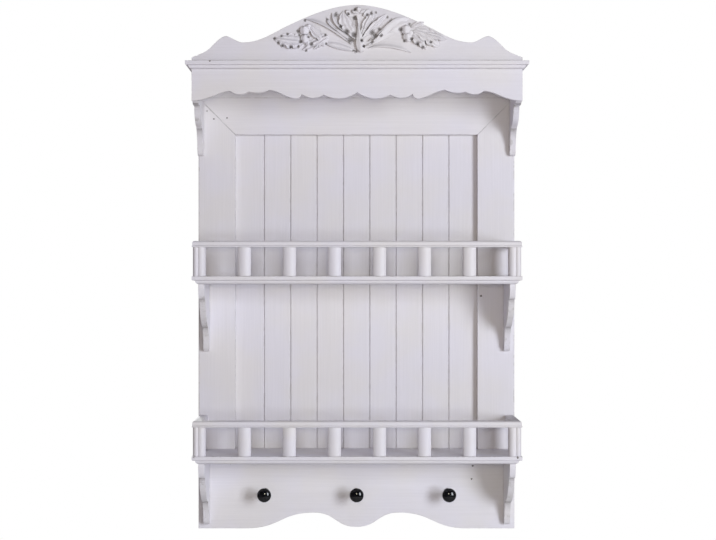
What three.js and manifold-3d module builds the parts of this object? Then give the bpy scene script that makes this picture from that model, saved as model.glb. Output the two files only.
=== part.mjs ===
// A wall shelf for showing plates: a framed board back, two shelves with baluster galleries,
// a canopy with a scalloped frieze and a carved crest, and a peg rail with three knobs.
// Millimetres. X runs across, the front faces -Y, Z is up and the wall is the plane y = 0.
// Heights are measured from the foot of the peg rail, and the whole is then hung so that
// the origin lies on the wall face of the middle back board.

import * as THREE from 'three';
import { mergeVertices } from 'three/addons/utils/BufferGeometryUtils.js';
import Module from 'manifold-3d';

const wasm = await Module();
wasm.setup();

// Back frame
const frameWidth = 682;
const stileWidth = 79.5;
const frameThickness = 16;
const openingTop = 850;
const mitreGap = 0.3;

// Tongue and groove back boards
const boardCount = 9;
const boardPitch = 57.2;
const boardThickness = 9;
const boardLap = 20;
const boardGap = 0.4;
const boardChamfer = 1.6;
const tongueLength = 4;
const tongueThickness = 3;
const tongueClearance = 0.3;

// Shelves
const shelfOverhang = 1;
const shelfDepth = 140;
const shelfThickness = 16.5;
const lowerShelfTop = 171.5;
const shelfSpacing = 373;
const shelfClearance = 0.5;
const mouldInset = 12.5;
const mouldHeight = 10.5;
const mouldStep = 1.6;
const mouldEasing = 1;
const ovoloInsetShare = 0.5;
const ovoloRiseShare = 0.25;

// Galleries
const galleryClearHeight = 60;
const railHeight = 13;
const railDepth = 21;
const railBead = 3.6;
const railBeadProjection = 1.2;
const railRounding = 5;
const balusterCount = 8;
const balusterWidth = 27;
const balusterFrontRadius = 20;
const balusterInset = 1;
const cornerInset = 2;
const cornerBeadRadius = 6.5;
const cornerLobeRadius = 10;
const tenonRadius = 4.5;
const tenonLength = 6;
const socketClearance = 0.3;

// Peg rail and knobs
const waveInnerOffset = 91;
const waveOuterOffset = 238;
const waveHeight = 34;
const waveCentreHeight = 3;
const knobCount = 3;
const knobSpacing = 197;
const knobHeight = 78;
const knobRadius = 15;
const knobLength = 54;
const knobCrownHeight = 7.5;
const knobShoulderHeight = 10;
const knobFootRadius = 9;
const knobFootHeight = 3;
const knobNeckRadius = 5;
const pegRadius = 5;
const pegClearance = 0.3;
const pegEndGap = 1;

// Scroll brackets
const bracketHeight = 145;
const bracketDepth = 127;
const bracketThickness = 12.5;

// Canopy and crest
const headBoardHeight = 43.5;
const topBoardThickness = 16;
const friezeHeight = 66.5;
const friezeThickness = 12;
const canopyBracketHeight = 169;
const crestHeight = 116;
const crestThickness = 16;

// Carving on the crest
const carvingHalfSpan = 178;
const carvingBottom = 17;
const carvingHeight = 92;
const carvingOffset = 2.5;
const carvingRelief = 5;
const carvingRounding = 1.6;
const carvingBacking = 2;
const flowerRadius = 20;
const petalCount = 5;

// Hanger plates
const hangerWidth = 20;
const hangerLength = 55;
const hangerThickness = 2;
const hangerDrop = 49.5;
const keyholeHeadRadius = 5;
const keyholeSlotRadius = 2.4;
const keyholeTravel = 14;
const pocketMargin = 2;
const pocketDepth = 9;

// The origin's height over the foot, on the middle back board
const wallFaceHeight = 550;

// Facets of round stretches
const curveDivisions = 5;
const roundFacets = 16;
const smallRoundFacets = 10;
const knobFacets = 20;
const overrun = 1;
const weldDistance = 0.001;

// Planes and places that follow from the sizes
const halfFrame = frameWidth / 2;
const halfShelf = halfFrame + shelfOverhang;
const halfOpening = halfFrame - stileWidth;
const boardFace = -boardThickness;
const frameFace = boardFace - frameThickness;
const galleryFace = frameFace - shelfDepth;
const frameTop = openingTop + stileWidth;
const lowerShelfBottom = lowerShelfTop - shelfThickness;
const upperShelfTop = lowerShelfTop + shelfSpacing;
const pegRailTop = lowerShelfBottom;
const boardBottom = pegRailTop - boardLap;
const boardTop = openingTop + boardLap;
const canopyBottom = frameTop + headBoardHeight;
const canopyTop = canopyBottom + topBoardThickness;
const balusterDepth = railDepth - 2 * balusterInset;
const cornerPostWidth = cornerLobeRadius + cornerLobeRadius + cornerBeadRadius;
const firstBalusterX = -(halfShelf - cornerInset - cornerPostWidth / 2);
const balusterPitch = (-2 * firstBalusterX) / (balusterCount - 1);
const bracketOuterX = halfShelf - mouldInset;
const hangerX = halfFrame - (stileWidth - boardLap) / 2;
const hangerHeight = frameTop - hangerDrop;

const paintColor = 0xd8d6dc;
const lacquerColor = 0x0b0b0d;
const zincColor = 0x9a9c9f;
const finishes = {
  paint: { color: paintColor, roughness: 0.6, metalness: 0 },
  lacquer: { color: lacquerColor, roughness: 0.12, metalness: 0 },
  zinc: { color: zincColor, roughness: 0.4, metalness: 0.9 },
};

const shelf = new THREE.Group();
shelf.position.z = -wallFaceHeight;

function addPiece(name, geometry, finish, x = 0, y = 0, z = 0) {
  geometry.computeVertexNormals();
  const mesh = new THREE.Mesh(geometry, new THREE.MeshStandardMaterial(finishes[finish]));
  mesh.name = name;
  mesh.position.set(x, y, z);
  shelf.add(mesh);
}

// Geometry helpers

const up = new THREE.Vector3(0, 0, 1);
const right = new THREE.Vector3(1, 0, 0);
const forward = new THREE.Vector3(0, -1, 0);

// Extrudes an outline whose own x lies along `across` and whose own y is up.
// The run is across x up, so an outline drawn facing right runs to the front.
function extrudeUpright(shape, length, across) {
  const geometry = new THREE.ExtrudeGeometry(shape, {
    depth: length, bevelEnabled: false, curveSegments: curveDivisions,
  });
  const run = new THREE.Vector3().crossVectors(across, up);
  return geometry.applyMatrix4(new THREE.Matrix4().makeBasis(across, up, run));
}

function extrudeUpwards(shape, length) {
  return new THREE.ExtrudeGeometry(shape, {
    depth: length, bevelEnabled: false, curveSegments: curveDivisions,
  });
}

function shapeFrom(points) {
  return new THREE.Shape(points.map(([x, y]) => new THREE.Vector2(x, y)));
}

// Turns a path drawn from the middle to the right into a whole edge from left to right.
function mirroredEdge(path) {
  const rightHalf = path.getPoints(curveDivisions);
  const leftHalf = rightHalf.slice(1).reverse().map((p) => new THREE.Vector2(-p.x, p.y));
  return [...leftHalf, ...rightHalf];
}

function toSolid(geometry) {
  const bare = geometry.clone();
  bare.deleteAttribute('normal');
  bare.deleteAttribute('uv');
  const merged = mergeVertices(bare, weldDistance);
  return new wasm.Manifold(new wasm.Mesh({
    numProp: 3,
    vertProperties: new Float32Array(merged.attributes.position.array),
    triVerts: new Uint32Array(merged.index.array),
  }));
}

function toGeometry(solid) {
  const mesh = solid.getMesh();
  const geometry = new THREE.BufferGeometry();
  geometry.setAttribute('position', new THREE.BufferAttribute(mesh.vertProperties, 3));
  geometry.setIndex(new THREE.BufferAttribute(mesh.triVerts, 1));
  return geometry;
}

function joined(geometries) {
  return toGeometry(geometries.map(toSolid).reduce((whole, piece) => whole.add(piece)));
}

function cutAway(geometry, cutters) {
  return toGeometry(cutters.map(toSolid).reduce((whole, cut) => whole.subtract(cut), toSolid(geometry)));
}

// A round pin standing on end, from `bottom` to `top`.
function uprightPin(radius, x, y, bottom, top, facets = smallRoundFacets) {
  const pin = new THREE.CylinderGeometry(radius, radius, top - bottom, facets);
  return pin.rotateX(Math.PI / 2).translate(x, y, (top + bottom) / 2);
}

// Back frame

function stileShape(side) {
  const outer = side * halfFrame;
  const inner = side * halfOpening;
  const points = [
    [outer, pegRailTop], [inner, pegRailTop],
    [inner, openingTop - mitreGap], [outer, frameTop - mitreGap],
  ];
  return shapeFrom(side < 0 ? points : points.reverse());
}

// The pocket behind a keyhole plate lets a screw head slide up inside the stile.
function hangerPocket(side) {
  const width = 2 * (keyholeHeadRadius + pocketMargin);
  const height = width + keyholeTravel;
  const pocket = new THREE.BoxGeometry(width, pocketDepth + overrun, height);
  const y = boardFace - (pocketDepth - overrun) / 2;
  return pocket.translate(side * hangerX, y, hangerHeight);
}

function addFrame() {
  for (const [side, name] of [[-1, 'left_stile'], [1, 'right_stile']]) {
    const board = extrudeUpright(stileShape(side), frameThickness, right).translate(0, boardFace, 0);
    addPiece(name, cutAway(board, [hangerPocket(side)]), 'paint');
  }
  const topRail = shapeFrom([
    [-halfOpening, openingTop], [halfOpening, openingTop], [halfFrame, frameTop], [-halfFrame, frameTop],
  ]);
  addPiece('top_rail', extrudeUpright(topRail, frameThickness, right), 'paint', 0, boardFace);
  const headBoard = shapeFrom([
    [-halfFrame, frameTop], [halfFrame, frameTop], [halfFrame, canopyBottom], [-halfFrame, canopyBottom],
  ]);
  addPiece('head_board', extrudeUpright(headBoard, frameThickness, right), 'paint', 0, boardFace);
}

// Back boards: each has a tongue on its right edge and a groove on its left one.

function boardSection(left, width, hasGroove, hasTongue) {
  const rightEdge = left + width;
  const middle = boardFace / 2;
  const tongueHalf = tongueThickness / 2;
  const grooveHalf = tongueHalf + tongueClearance;
  const grooveEnd = left + tongueLength + tongueClearance;
  const points = [[left, 0]];
  if (hasGroove) {
    points.push([left, middle + grooveHalf], [grooveEnd, middle + grooveHalf]);
    points.push([grooveEnd, middle - grooveHalf], [left, middle - grooveHalf]);
    points.push([left, boardFace + boardChamfer], [left + boardChamfer, boardFace]);
  } else {
    points.push([left, boardFace]);
  }
  if (hasTongue) {
    points.push([rightEdge - boardChamfer, boardFace], [rightEdge, boardFace + boardChamfer]);
    points.push([rightEdge, middle - tongueHalf], [rightEdge + tongueLength, middle - tongueHalf]);
    points.push([rightEdge + tongueLength, middle + tongueHalf], [rightEdge, middle + tongueHalf]);
  } else {
    points.push([rightEdge, boardFace]);
  }
  points.push([rightEdge, 0]);
  return shapeFrom(points);
}

function addBackBoards() {
  const innerCount = boardCount - 2;
  const firstSeam = (-innerCount / 2) * boardPitch;
  const outerEdge = halfOpening + boardLap;
  for (let i = 0; i < boardCount; i += 1) {
    const isFirst = i === 0;
    const isLast = i === boardCount - 1;
    const left = isFirst ? -outerEdge : firstSeam + (i - 1) * boardPitch + boardGap / 2;
    const rightEdge = isLast ? outerEdge : firstSeam + i * boardPitch - boardGap / 2;
    const section = boardSection(left, rightEdge - left, !isFirst, !isLast);
    addPiece(`back_board_${i + 1}`, extrudeUpwards(section, boardTop - boardBottom), 'paint',
      0, 0, boardBottom);
  }
}

// Shelves and canopy top: boards with a routed edge at the front and both ends

// Insets of the edge, from the underside up: an ovolo, a small step, the nose and its eased arris.
function mouldProfile(thickness) {
  const ovolo = new THREE.QuadraticBezierCurve(
    new THREE.Vector2(mouldInset, 0),
    new THREE.Vector2(ovoloInsetShare * mouldInset, ovoloRiseShare * mouldHeight),
    new THREE.Vector2(mouldStep, mouldHeight),
  );
  return [
    ...ovolo.getPoints(curveDivisions).map((p) => [p.x, p.y]),
    [0, mouldHeight], [0, thickness - mouldEasing], [mouldEasing, thickness],
  ];
}

// Stacks one plan outline per profile point and closes it with a floor and a top.
function mouldedBoard(profile, planAt) {
  const rings = profile.map(([inset, height]) => planAt(inset).map(([x, y]) => [x, y, height]));
  const count = rings[0].length;
  const cap = THREE.ShapeUtils.triangulateShape(rings[0].map(([x, y]) => new THREE.Vector2(x, y)), []);
  const top = (rings.length - 1) * count;
  const faces = [];
  for (const [a, b, c] of cap) {
    faces.push(a, c, b, top + a, top + b, top + c);
  }
  for (let ring = 0; ring + 1 < rings.length; ring += 1) {
    for (let i = 0; i < count; i += 1) {
      const low = ring * count + i;
      const lowNext = ring * count + ((i + 1) % count);
      faces.push(low, lowNext, lowNext + count, low, lowNext + count, low + count);
    }
  }
  const geometry = new THREE.BufferGeometry();
  geometry.setAttribute('position', new THREE.Float32BufferAttribute(rings.flat(2), 3));
  geometry.setIndex(faces);
  return geometry;
}

// A shelf's plan, anticlockwise: its back has a tongue that passes between the stiles.
function shelfPlan(inset) {
  const half = halfShelf - inset;
  const tongueHalf = halfOpening - shelfClearance;
  return [
    [-half, galleryFace + inset], [half, galleryFace + inset], [half, frameFace],
    [tongueHalf, frameFace], [tongueHalf, boardFace], [-tongueHalf, boardFace],
    [-tongueHalf, frameFace], [-half, frameFace],
  ];
}

function topBoardPlan(inset) {
  const half = halfShelf + mouldInset - inset;
  const front = galleryFace - mouldInset + inset;
  return [[-half, front], [half, front], [half, 0], [-half, 0]];
}

// Galleries

function balusterPlaces() {
  const frontY = galleryFace + balusterInset;
  return Array.from({ length: balusterCount }, (_, i) => ({
    x: firstBalusterX + i * balusterPitch,
    y: frontY + balusterDepth / 2,
    isCorner: i === 0 || i === balusterCount - 1,
  }));
}

const sideBalusterY = (frameFace + galleryFace + railDepth) / 2;
const sideBalusterX = halfShelf - balusterInset - balusterDepth / 2;
const cornerMiddle = cornerBeadRadius + cornerLobeRadius / 2;
const cornerTenonX = halfShelf - cornerInset - cornerMiddle;
const cornerTenonY = galleryFace + cornerInset + cornerMiddle;

function frontTenonPlaces() {
  return balusterPlaces().map(({ x, y, isCorner }) => (
    isCorner ? [Math.sign(x) * cornerTenonX, cornerTenonY] : [x, y]));
}

// A baluster has flat sides, a flat back towards the shelf and a front that bulges outwards.
function balusterSection() {
  const half = balusterWidth / 2;
  const swing = Math.asin(half / balusterFrontRadius);
  const facing = -Math.PI / 2;
  const section = new THREE.Shape();
  section.moveTo(half, balusterDepth / 2);
  section.lineTo(-half, balusterDepth / 2);
  section.absarc(0, balusterFrontRadius - balusterDepth / 2, balusterFrontRadius,
    facing - swing, facing + swing, false);
  section.closePath();
  return section;
}

function turnedBaluster(turn) {
  const body = extrudeUpwards(balusterSection(), galleryClearHeight).rotateZ(turn);
  const tenon = uprightPin(tenonRadius, 0, 0, -tenonLength, galleryClearHeight + tenonLength);
  return joined([body, tenon]);
}

// A corner post is a small bead on the corner between two larger lobes, one for each side.
function cornerPost(side) {
  const lobe = cornerBeadRadius + cornerLobeRadius;
  const pin = (radius, x, y) => uprightPin(radius, side * x, y, 0, galleryClearHeight, roundFacets);
  const core = new THREE.BoxGeometry(cornerLobeRadius, cornerLobeRadius, galleryClearHeight);
  core.translate(-side * cornerMiddle, cornerMiddle, galleryClearHeight / 2);
  return joined([
    pin(cornerBeadRadius, -cornerBeadRadius, cornerBeadRadius),
    pin(cornerLobeRadius, -lobe, cornerLobeRadius),
    pin(cornerLobeRadius, -cornerLobeRadius, lobe),
    core,
    uprightPin(tenonRadius, -side * cornerMiddle, cornerMiddle,
      -tenonLength, galleryClearHeight + tenonLength),
  ]);
}

// The rail's section, drawn with its outer face to the right: a bead below, rounded above.
function railSection() {
  const face = railDepth - railBeadProjection;
  const section = new THREE.Shape();
  section.moveTo(0, 0);
  section.lineTo(face, 0);
  section.quadraticCurveTo(railDepth + railBeadProjection, railBead / 2, face, railBead);
  section.lineTo(face, railHeight - railRounding);
  section.quadraticCurveTo(face, railHeight, face - railRounding, railHeight);
  section.lineTo(railRounding / 2, railHeight);
  section.quadraticCurveTo(0, railHeight, 0, railHeight - railRounding / 2);
  section.closePath();
  return section;
}

function sockets(places, bottom, top) {
  const radius = tenonRadius + socketClearance;
  return places.map(([x, y]) => uprightPin(radius, x, y, bottom, top));
}

function addShelf(level, topZ) {
  const depth = tenonLength + socketClearance;
  const sidePlaces = [-1, 1].map((side) => [side * sideBalusterX, sideBalusterY]);
  const board = mouldedBoard(mouldProfile(shelfThickness), shelfPlan);
  const shelfSockets = sockets([...frontTenonPlaces(), ...sidePlaces],
    shelfThickness - depth, shelfThickness + overrun);
  addPiece(`${level}_shelf`, cutAway(board, shelfSockets), 'paint', 0, 0, topZ - shelfThickness);

  const railBottom = topZ + galleryClearHeight;
  const frontRail = extrudeUpright(railSection(), 2 * halfShelf, forward)
    .translate(halfShelf, galleryFace + railDepth, 0);
  addPiece(`${level}_front_rail`, cutAway(frontRail, sockets(frontTenonPlaces(), -overrun, depth)),
    'paint', 0, 0, railBottom);

  for (const [side, name] of [[-1, 'left'], [1, 'right']]) {
    const length = shelfDepth - railDepth;
    const outward = new THREE.Vector3(side, 0, 0);
    const sideRail = extrudeUpright(railSection(), length, outward);
    sideRail.translate(side * (halfShelf - railDepth), side > 0 ? frameFace : frameFace - length, 0);
    const socket = sockets([[side * sideBalusterX, sideBalusterY]], -overrun, depth);
    addPiece(`${level}_${name}_rail`, cutAway(sideRail, socket), 'paint', 0, 0, railBottom);
    addPiece(`${level}_${name}_corner_post`, cornerPost(side), 'paint',
      side * (halfShelf - cornerInset), galleryFace + cornerInset, topZ);
    addPiece(`${level}_${name}_side_baluster`, turnedBaluster(side * (Math.PI / 2)), 'paint',
      side * sideBalusterX, sideBalusterY, topZ);
  }
  balusterPlaces().forEach(({ x, y, isCorner }, i) => {
    if (!isCorner) {
      addPiece(`${level}_front_baluster_${i}`, turnedBaluster(0), 'paint', x, y, topZ);
    }
  });
}

// Peg rail: a board with a wavy foot, bored through for the knobs' pegs

function waveEdge() {
  const path = new THREE.Path();
  const innerReach = waveInnerOffset / 2;
  const outerReach = (waveOuterOffset - waveInnerOffset) / 2;
  path.moveTo(0, waveCentreHeight);
  path.bezierCurveTo(innerReach, waveCentreHeight, innerReach, waveHeight, waveInnerOffset, waveHeight);
  path.bezierCurveTo(waveInnerOffset + outerReach, waveHeight,
    waveOuterOffset - outerReach, 0, waveOuterOffset, 0);
  path.lineTo(halfFrame, 0);
  return mirroredEdge(path);
}

function knobPlaces() {
  return Array.from({ length: knobCount }, (_, i) => (i - (knobCount - 1) / 2) * knobSpacing);
}

function addPegRail() {
  const board = new THREE.Shape([
    ...waveEdge(), new THREE.Vector2(halfFrame, pegRailTop), new THREE.Vector2(-halfFrame, pegRailTop),
  ]);
  for (const x of knobPlaces()) {
    const bore = new THREE.Path();
    bore.absarc(x, knobHeight, pegRadius + pegClearance, 0, 2 * Math.PI, true);
    board.holes.push(bore);
  }
  addPiece('peg_rail', extrudeUpright(board, frameThickness, right), 'paint', 0, boardFace);
}

// A knob's half section from the end of its peg to its crown: peg, foot, neck and head.
function knobGeometry() {
  const rim = knobLength - knobCrownHeight;
  const neckEnd = rim - knobShoulderHeight;
  const profile = new THREE.Path();
  profile.moveTo(0, -(frameThickness - pegEndGap));
  profile.lineTo(pegRadius, -(frameThickness - pegEndGap));
  profile.lineTo(pegRadius, 0);
  profile.lineTo(knobFootRadius, 0);
  profile.lineTo(knobFootRadius, knobFootHeight / 2);
  profile.quadraticCurveTo(knobFootRadius, knobFootHeight,
    knobNeckRadius, knobFootHeight + knobFootHeight / 2);
  profile.lineTo(knobNeckRadius, neckEnd);
  profile.quadraticCurveTo(knobRadius, neckEnd, knobRadius, rim);
  profile.absellipse(0, rim, knobRadius, knobCrownHeight, 0, Math.PI / 2, false);
  const points = profile.getPoints(curveDivisions);
  points[points.length - 1].x = 0;
  return new THREE.LatheGeometry(points, knobFacets).rotateX(Math.PI);
}

function addKnobs() {
  const names = ['left_knob', 'middle_knob', 'right_knob'];
  knobPlaces().forEach((x, i) => {
    addPiece(names[i] ?? `knob_${i + 1}`, knobGeometry(), 'lacquer', x, frameFace, knobHeight);
  });
}

// Brackets. Each pair is a reach from the frame as a share of the depth, and a drop below
// the board as a share of the height. A lobe has its start, its control point and its end.

const shelfBracket = {
  reach: bracketDepth,
  height: bracketHeight,
  lobeShares: [
    [[1, 0.06], [0.98, 0.19], [0.9, 0.215]],
    [[0.83, 0.225], [0.8, 0.45], [0.39, 0.62]],
    [[0.3, 0.632], [0.2, 0.7], [0.15, 0.88]],
  ],
  tailShares: [[0.12, 1], [0.04, 1]],
};
const canopyBracket = {
  reach: shelfDepth - friezeThickness,
  height: canopyBracketHeight,
  lobeShares: [
    [[1, 0.34], [0.98, 0.42], [0.8, 0.425]],
    [[0.675, 0.4], [0.62, 0.62], [0.34, 0.652]],
    [[0.295, 0.67], [0.17, 0.75], [0.127, 0.897]],
  ],
  tailShares: [[0.11, 1], [0.042, 1]],
};

// Draws the outline with its own x towards the front and the board's underside at y = 0.
function bracketShape({ reach, height, lobeShares, tailShares }) {
  const at = ([across, down]) => [across * reach, -down * height];
  const shape = new THREE.Shape();
  shape.moveTo(0, 0);
  shape.lineTo(reach, 0);
  for (const [start, control, end] of lobeShares) {
    shape.lineTo(...at(start));
    shape.quadraticCurveTo(...at(control), ...at(end));
  }
  shape.quadraticCurveTo(...tailShares.flatMap(at));
  shape.lineTo(0, -height);
  shape.closePath();
  return shape;
}

function addBracketPair(level, topZ, outerX, kind) {
  for (const [side, name] of [[-1, 'left'], [1, 'right']]) {
    const bracket = extrudeUpright(bracketShape(kind), bracketThickness, forward);
    const runStart = side > 0 ? outerX : bracketThickness - outerX;
    addPiece(`${level}_${name}_bracket`, bracket, 'paint', runStart, frameFace, topZ);
  }
}

// Canopy and crest. The frieze's foot, from the middle to the right: control points and ends,
// across as a share of the half width and down as a share of the frieze's height.

const friezeStartShare = [0, 0.73];
const friezeCurveShares = [
  [[0.102, 1.077], [0.202, 0.8]],
  [[0.272, 1.02], [0.335, 0.782]],
  [[0.354, 1.17], [0.474, 0.651], [0.531, 0.651]],
  [[0.596, 0.805], [0.654, 0.707]],
  [[0.711, 0.89], [0.766, 0.69]],
  [[0.833, 0.68], [0.877, 0.96], [1, 1]],
];

// The crest's top edge, from its crown to the right: up as a share of the crest's height.
const crestStartShare = [0, 1];
const crestCurveShares = [
  [[0.16, 1], [0.322, 0.767], [0.439, 0.6]],
  [[0.532, 0.457], [0.599, 0.332], [0.69, 0.332]],
  [[0.725, 0.332], [0.766, 0.446], [0.792, 0.446]],
  [[0.819, 0.446], [0.857, 0.33], [0.889, 0.233]],
  [[0.915, 0.155], [0.95, 0.125], [1, 0.066]],
];

function curvedEdge(startShare, curveShares, width, height) {
  const at = ([across, along]) => new THREE.Vector2(across * width, along * height);
  const path = new THREE.Path();
  path.moveTo(...at(startShare));
  for (const shares of curveShares) {
    const numbers = shares.flatMap((share) => at(share).toArray());
    if (shares.length === 3) {
      path.bezierCurveTo(...numbers);
    } else {
      path.quadraticCurveTo(...numbers);
    }
  }
  return mirroredEdge(path);
}

function addCanopy() {
  const topBoard = mouldedBoard(mouldProfile(topBoardThickness), topBoardPlan);
  addPiece('canopy_top_board', topBoard, 'paint', 0, 0, canopyBottom);

  const frieze = new THREE.Shape([
    ...curvedEdge(friezeStartShare, friezeCurveShares, halfShelf, -friezeHeight),
    new THREE.Vector2(halfShelf, 0), new THREE.Vector2(-halfShelf, 0),
  ]);
  addPiece('frieze_board', extrudeUpright(frieze, friezeThickness, right), 'paint',
    0, galleryFace + friezeThickness, canopyBottom);

  const crest = new THREE.Shape([
    new THREE.Vector2(-halfShelf, 0),
    ...curvedEdge(crestStartShare, crestCurveShares, halfShelf, crestHeight),
    new THREE.Vector2(halfShelf, 0),
  ].reverse());
  addPiece('crest_board', extrudeUpright(crest, crestThickness, right), 'paint',
    0, galleryFace + crestThickness, canopyTop);
}

// Carving: leaves fan out from a short stem, with a flower on each side and a spray to each end.
// Places are shares of the half span and of the height. A leaf has a foot, a tip and the bulges
// of its two edges as shares of its length.

const leafShares = [
  { foot: [0, 0.1], tip: [0.13, 0.9], bulges: [0.2, -0.1] },
  { foot: [0, 0.1], tip: [0.265, 0.9], bulges: [0.14, -0.1] },
  { foot: [0, 0.1], tip: [0.375, 0.8], bulges: [0.02, -0.16] },
  { foot: [0, 0.08], tip: [0.6, 0.79], bulges: [-0.06, -0.24] },
  { foot: [0, 0.06], tip: [0.42, 0.16], bulges: [0.1, -0.12] },
  { foot: [0.3, 0.3], tip: [0.62, 0.1], bulges: [0.22, -0.1] },
  { foot: [0.52, 0.36], tip: [1, 0.36], bulges: [0.24, -0.16] },
  { foot: [0.54, 0.3], tip: [0.9, 0.14], bulges: [0.14, -0.2] },
  { foot: [0.5, 0.4], tip: [0.84, 0.56], bulges: [0.16, -0.14] },
];
const stemShares = [[-0.03, 0], [0.03, 0], [0.022, 0.88], [-0.022, 0.88]];
const budShare = [0, 0.92];
const budRadiusShare = 0.45;
const flowerShare = [0.57, 0.4];
const petalRadiusShare = 0.46;
const heartRadiusShare = 0.4;

function relief(shape, height) {
  const geometry = new THREE.ExtrudeGeometry(shape, {
    depth: height - carvingRounding, curveSegments: curveDivisions, bevelEnabled: true,
    bevelThickness: carvingRounding, bevelSize: carvingRounding, bevelOffset: -carvingRounding,
    bevelSegments: 1,
  });
  return geometry.applyMatrix4(new THREE.Matrix4().makeBasis(right, up, forward));
}

function carvingPoint([across, along], side = 1) {
  return new THREE.Vector2(side * across * carvingHalfSpan, along * carvingHeight);
}

function leafShape({ foot, tip, bulges }, side) {
  const start = carvingPoint(foot, side);
  const end = carvingPoint(tip, side);
  const length = start.distanceTo(end);
  const middle = start.clone().lerp(end, 1 / 2);
  const normal = end.clone().sub(start).normalize().rotateAround(new THREE.Vector2(), Math.PI / 2);
  const [outer, inner] = bulges.map((bulge) => (
    middle.clone().addScaledVector(normal, side * 2 * bulge * length)));
  const shape = new THREE.Shape();
  shape.moveTo(start.x, start.y);
  shape.quadraticCurveTo(outer.x, outer.y, end.x, end.y);
  shape.quadraticCurveTo(inner.x, inner.y, start.x, start.y);
  return shape;
}

function disc(centre, radius) {
  const shape = new THREE.Shape();
  shape.absarc(centre.x, centre.y, radius, 0, 2 * Math.PI, false);
  return shape;
}

function flowerReliefs(side) {
  const centre = carvingPoint(flowerShare, side);
  const petalRadius = petalRadiusShare * flowerRadius;
  const petals = Array.from({ length: petalCount }, (_, i) => {
    const angle = (i * 2 * Math.PI) / petalCount;
    const reach = new THREE.Vector2(flowerRadius - petalRadius, 0).rotateAround(new THREE.Vector2(), angle);
    return relief(disc(centre.clone().add(reach), petalRadius), carvingRelief + carvingRounding);
  });
  const heart = relief(disc(centre, heartRadiusShare * flowerRadius), carvingRelief + 2 * carvingRounding);
  return [...petals, heart];
}

function addCarving() {
  const stem = shapeFrom(stemShares.map((share) => carvingPoint(share).toArray()));
  const bud = disc(carvingPoint(budShare), budRadiusShare * flowerRadius);
  const pieces = [stem, bud].map((shape) => relief(shape, carvingRelief + carvingRounding));
  for (const side of [-1, 1]) {
    leafShares.forEach((leaf) => pieces.push(relief(leafShape(leaf, side), carvingRelief)));
    pieces.push(...flowerReliefs(side));
  }
  const whole = joined(pieces);
  const bounds = new THREE.Box3().setFromBufferAttribute(whole.attributes.position);
  const size = bounds.getSize(new THREE.Vector3());
  const behind = new THREE.BoxGeometry(size.x + overrun, carvingBacking, size.z + overrun)
    .translate((bounds.min.x + bounds.max.x) / 2, carvingBacking / 2, (bounds.min.z + bounds.max.z) / 2);
  addPiece('crest_carving', cutAway(whole, [behind]), 'paint',
    carvingOffset, galleryFace, canopyTop + carvingBottom);
}

// Hanger plates, with the wide end of the keyhole below

function addHangers() {
  const half = hangerWidth / 2;
  const end = hangerLength / 2;
  const headY = -keyholeTravel / 2;
  const slotY = keyholeTravel / 2;
  const shoulder = Math.acos(keyholeSlotRadius / keyholeHeadRadius);
  for (const [side, name] of [[-1, 'left'], [1, 'right']]) {
    const plate = shapeFrom([[-half, -end], [half, -end], [half, end], [-half, end]]);
    const keyhole = new THREE.Path();
    keyhole.absarc(0, slotY, keyholeSlotRadius, 0, Math.PI, false);
    keyhole.absarc(0, headY, keyholeHeadRadius, Math.PI - shoulder, 2 * Math.PI + shoulder, false);
    plate.holes.push(keyhole);
    const y = boardFace + hangerThickness;
    addPiece(`${name}_hanger_plate`, extrudeUpright(plate, hangerThickness, right), 'zinc',
      side * hangerX, y, hangerHeight);
  }
}

addFrame();
addBackBoards();
addPegRail();
addKnobs();
addShelf('lower', lowerShelfTop);
addShelf('upper', upperShelfTop);
addBracketPair('lower', lowerShelfBottom, bracketOuterX, shelfBracket);
addBracketPair('upper', upperShelfTop - shelfThickness, bracketOuterX, shelfBracket);
addBracketPair('canopy', canopyBottom, halfShelf, canopyBracket);
addCanopy();
addCarving();
addHangers();

export default shelf;
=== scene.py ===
"""A painted wooden plate shelf, dressed piece by piece around its fixed frame.

Everything is in metres, in the frame's own axes: +X to the right, +Y into the wall, +Z up.
"""

import logging
import math
from dataclasses import dataclass, field, replace
from enum import Enum
from typing import Callable, Iterable, Sequence

import bmesh
import bpy
from bmesh.types import BMEdge, BMFace, BMVert
from mathutils import Matrix, Vector
from mathutils.geometry import interpolate_bezier


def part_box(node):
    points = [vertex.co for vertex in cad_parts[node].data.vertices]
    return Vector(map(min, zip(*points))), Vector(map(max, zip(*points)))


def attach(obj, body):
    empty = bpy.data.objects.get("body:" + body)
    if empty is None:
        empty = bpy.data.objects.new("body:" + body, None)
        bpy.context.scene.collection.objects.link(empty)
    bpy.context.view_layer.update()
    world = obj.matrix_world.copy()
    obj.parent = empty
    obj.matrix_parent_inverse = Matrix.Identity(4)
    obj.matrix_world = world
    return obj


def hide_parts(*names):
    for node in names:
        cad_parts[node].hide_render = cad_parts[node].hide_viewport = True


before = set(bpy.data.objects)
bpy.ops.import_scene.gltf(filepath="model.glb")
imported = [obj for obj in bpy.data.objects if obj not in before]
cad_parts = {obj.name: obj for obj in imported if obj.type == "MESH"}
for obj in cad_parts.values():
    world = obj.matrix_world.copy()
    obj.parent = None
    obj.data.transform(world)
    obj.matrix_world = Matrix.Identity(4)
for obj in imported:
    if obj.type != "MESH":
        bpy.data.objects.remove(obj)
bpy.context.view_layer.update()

log = logging.getLogger("plate_shelf")

MM = 0.001
BODY = "root"
SIDES = ((-1, "left"), (1, "right"))
LEVELS = ("lower", "upper")
OVERRUN = 1 * MM
SEAM = 0.01 * MM
# The length of a curve's handles, as a share of the radius, that makes it a quarter of a circle.
QUARTER_ROUND = 0.5523

Pair = tuple[float, float]
Triple = tuple[float, float, float]
Socket = bpy.types.NodeSocket
Value = Socket | float | Sequence[float]


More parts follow.
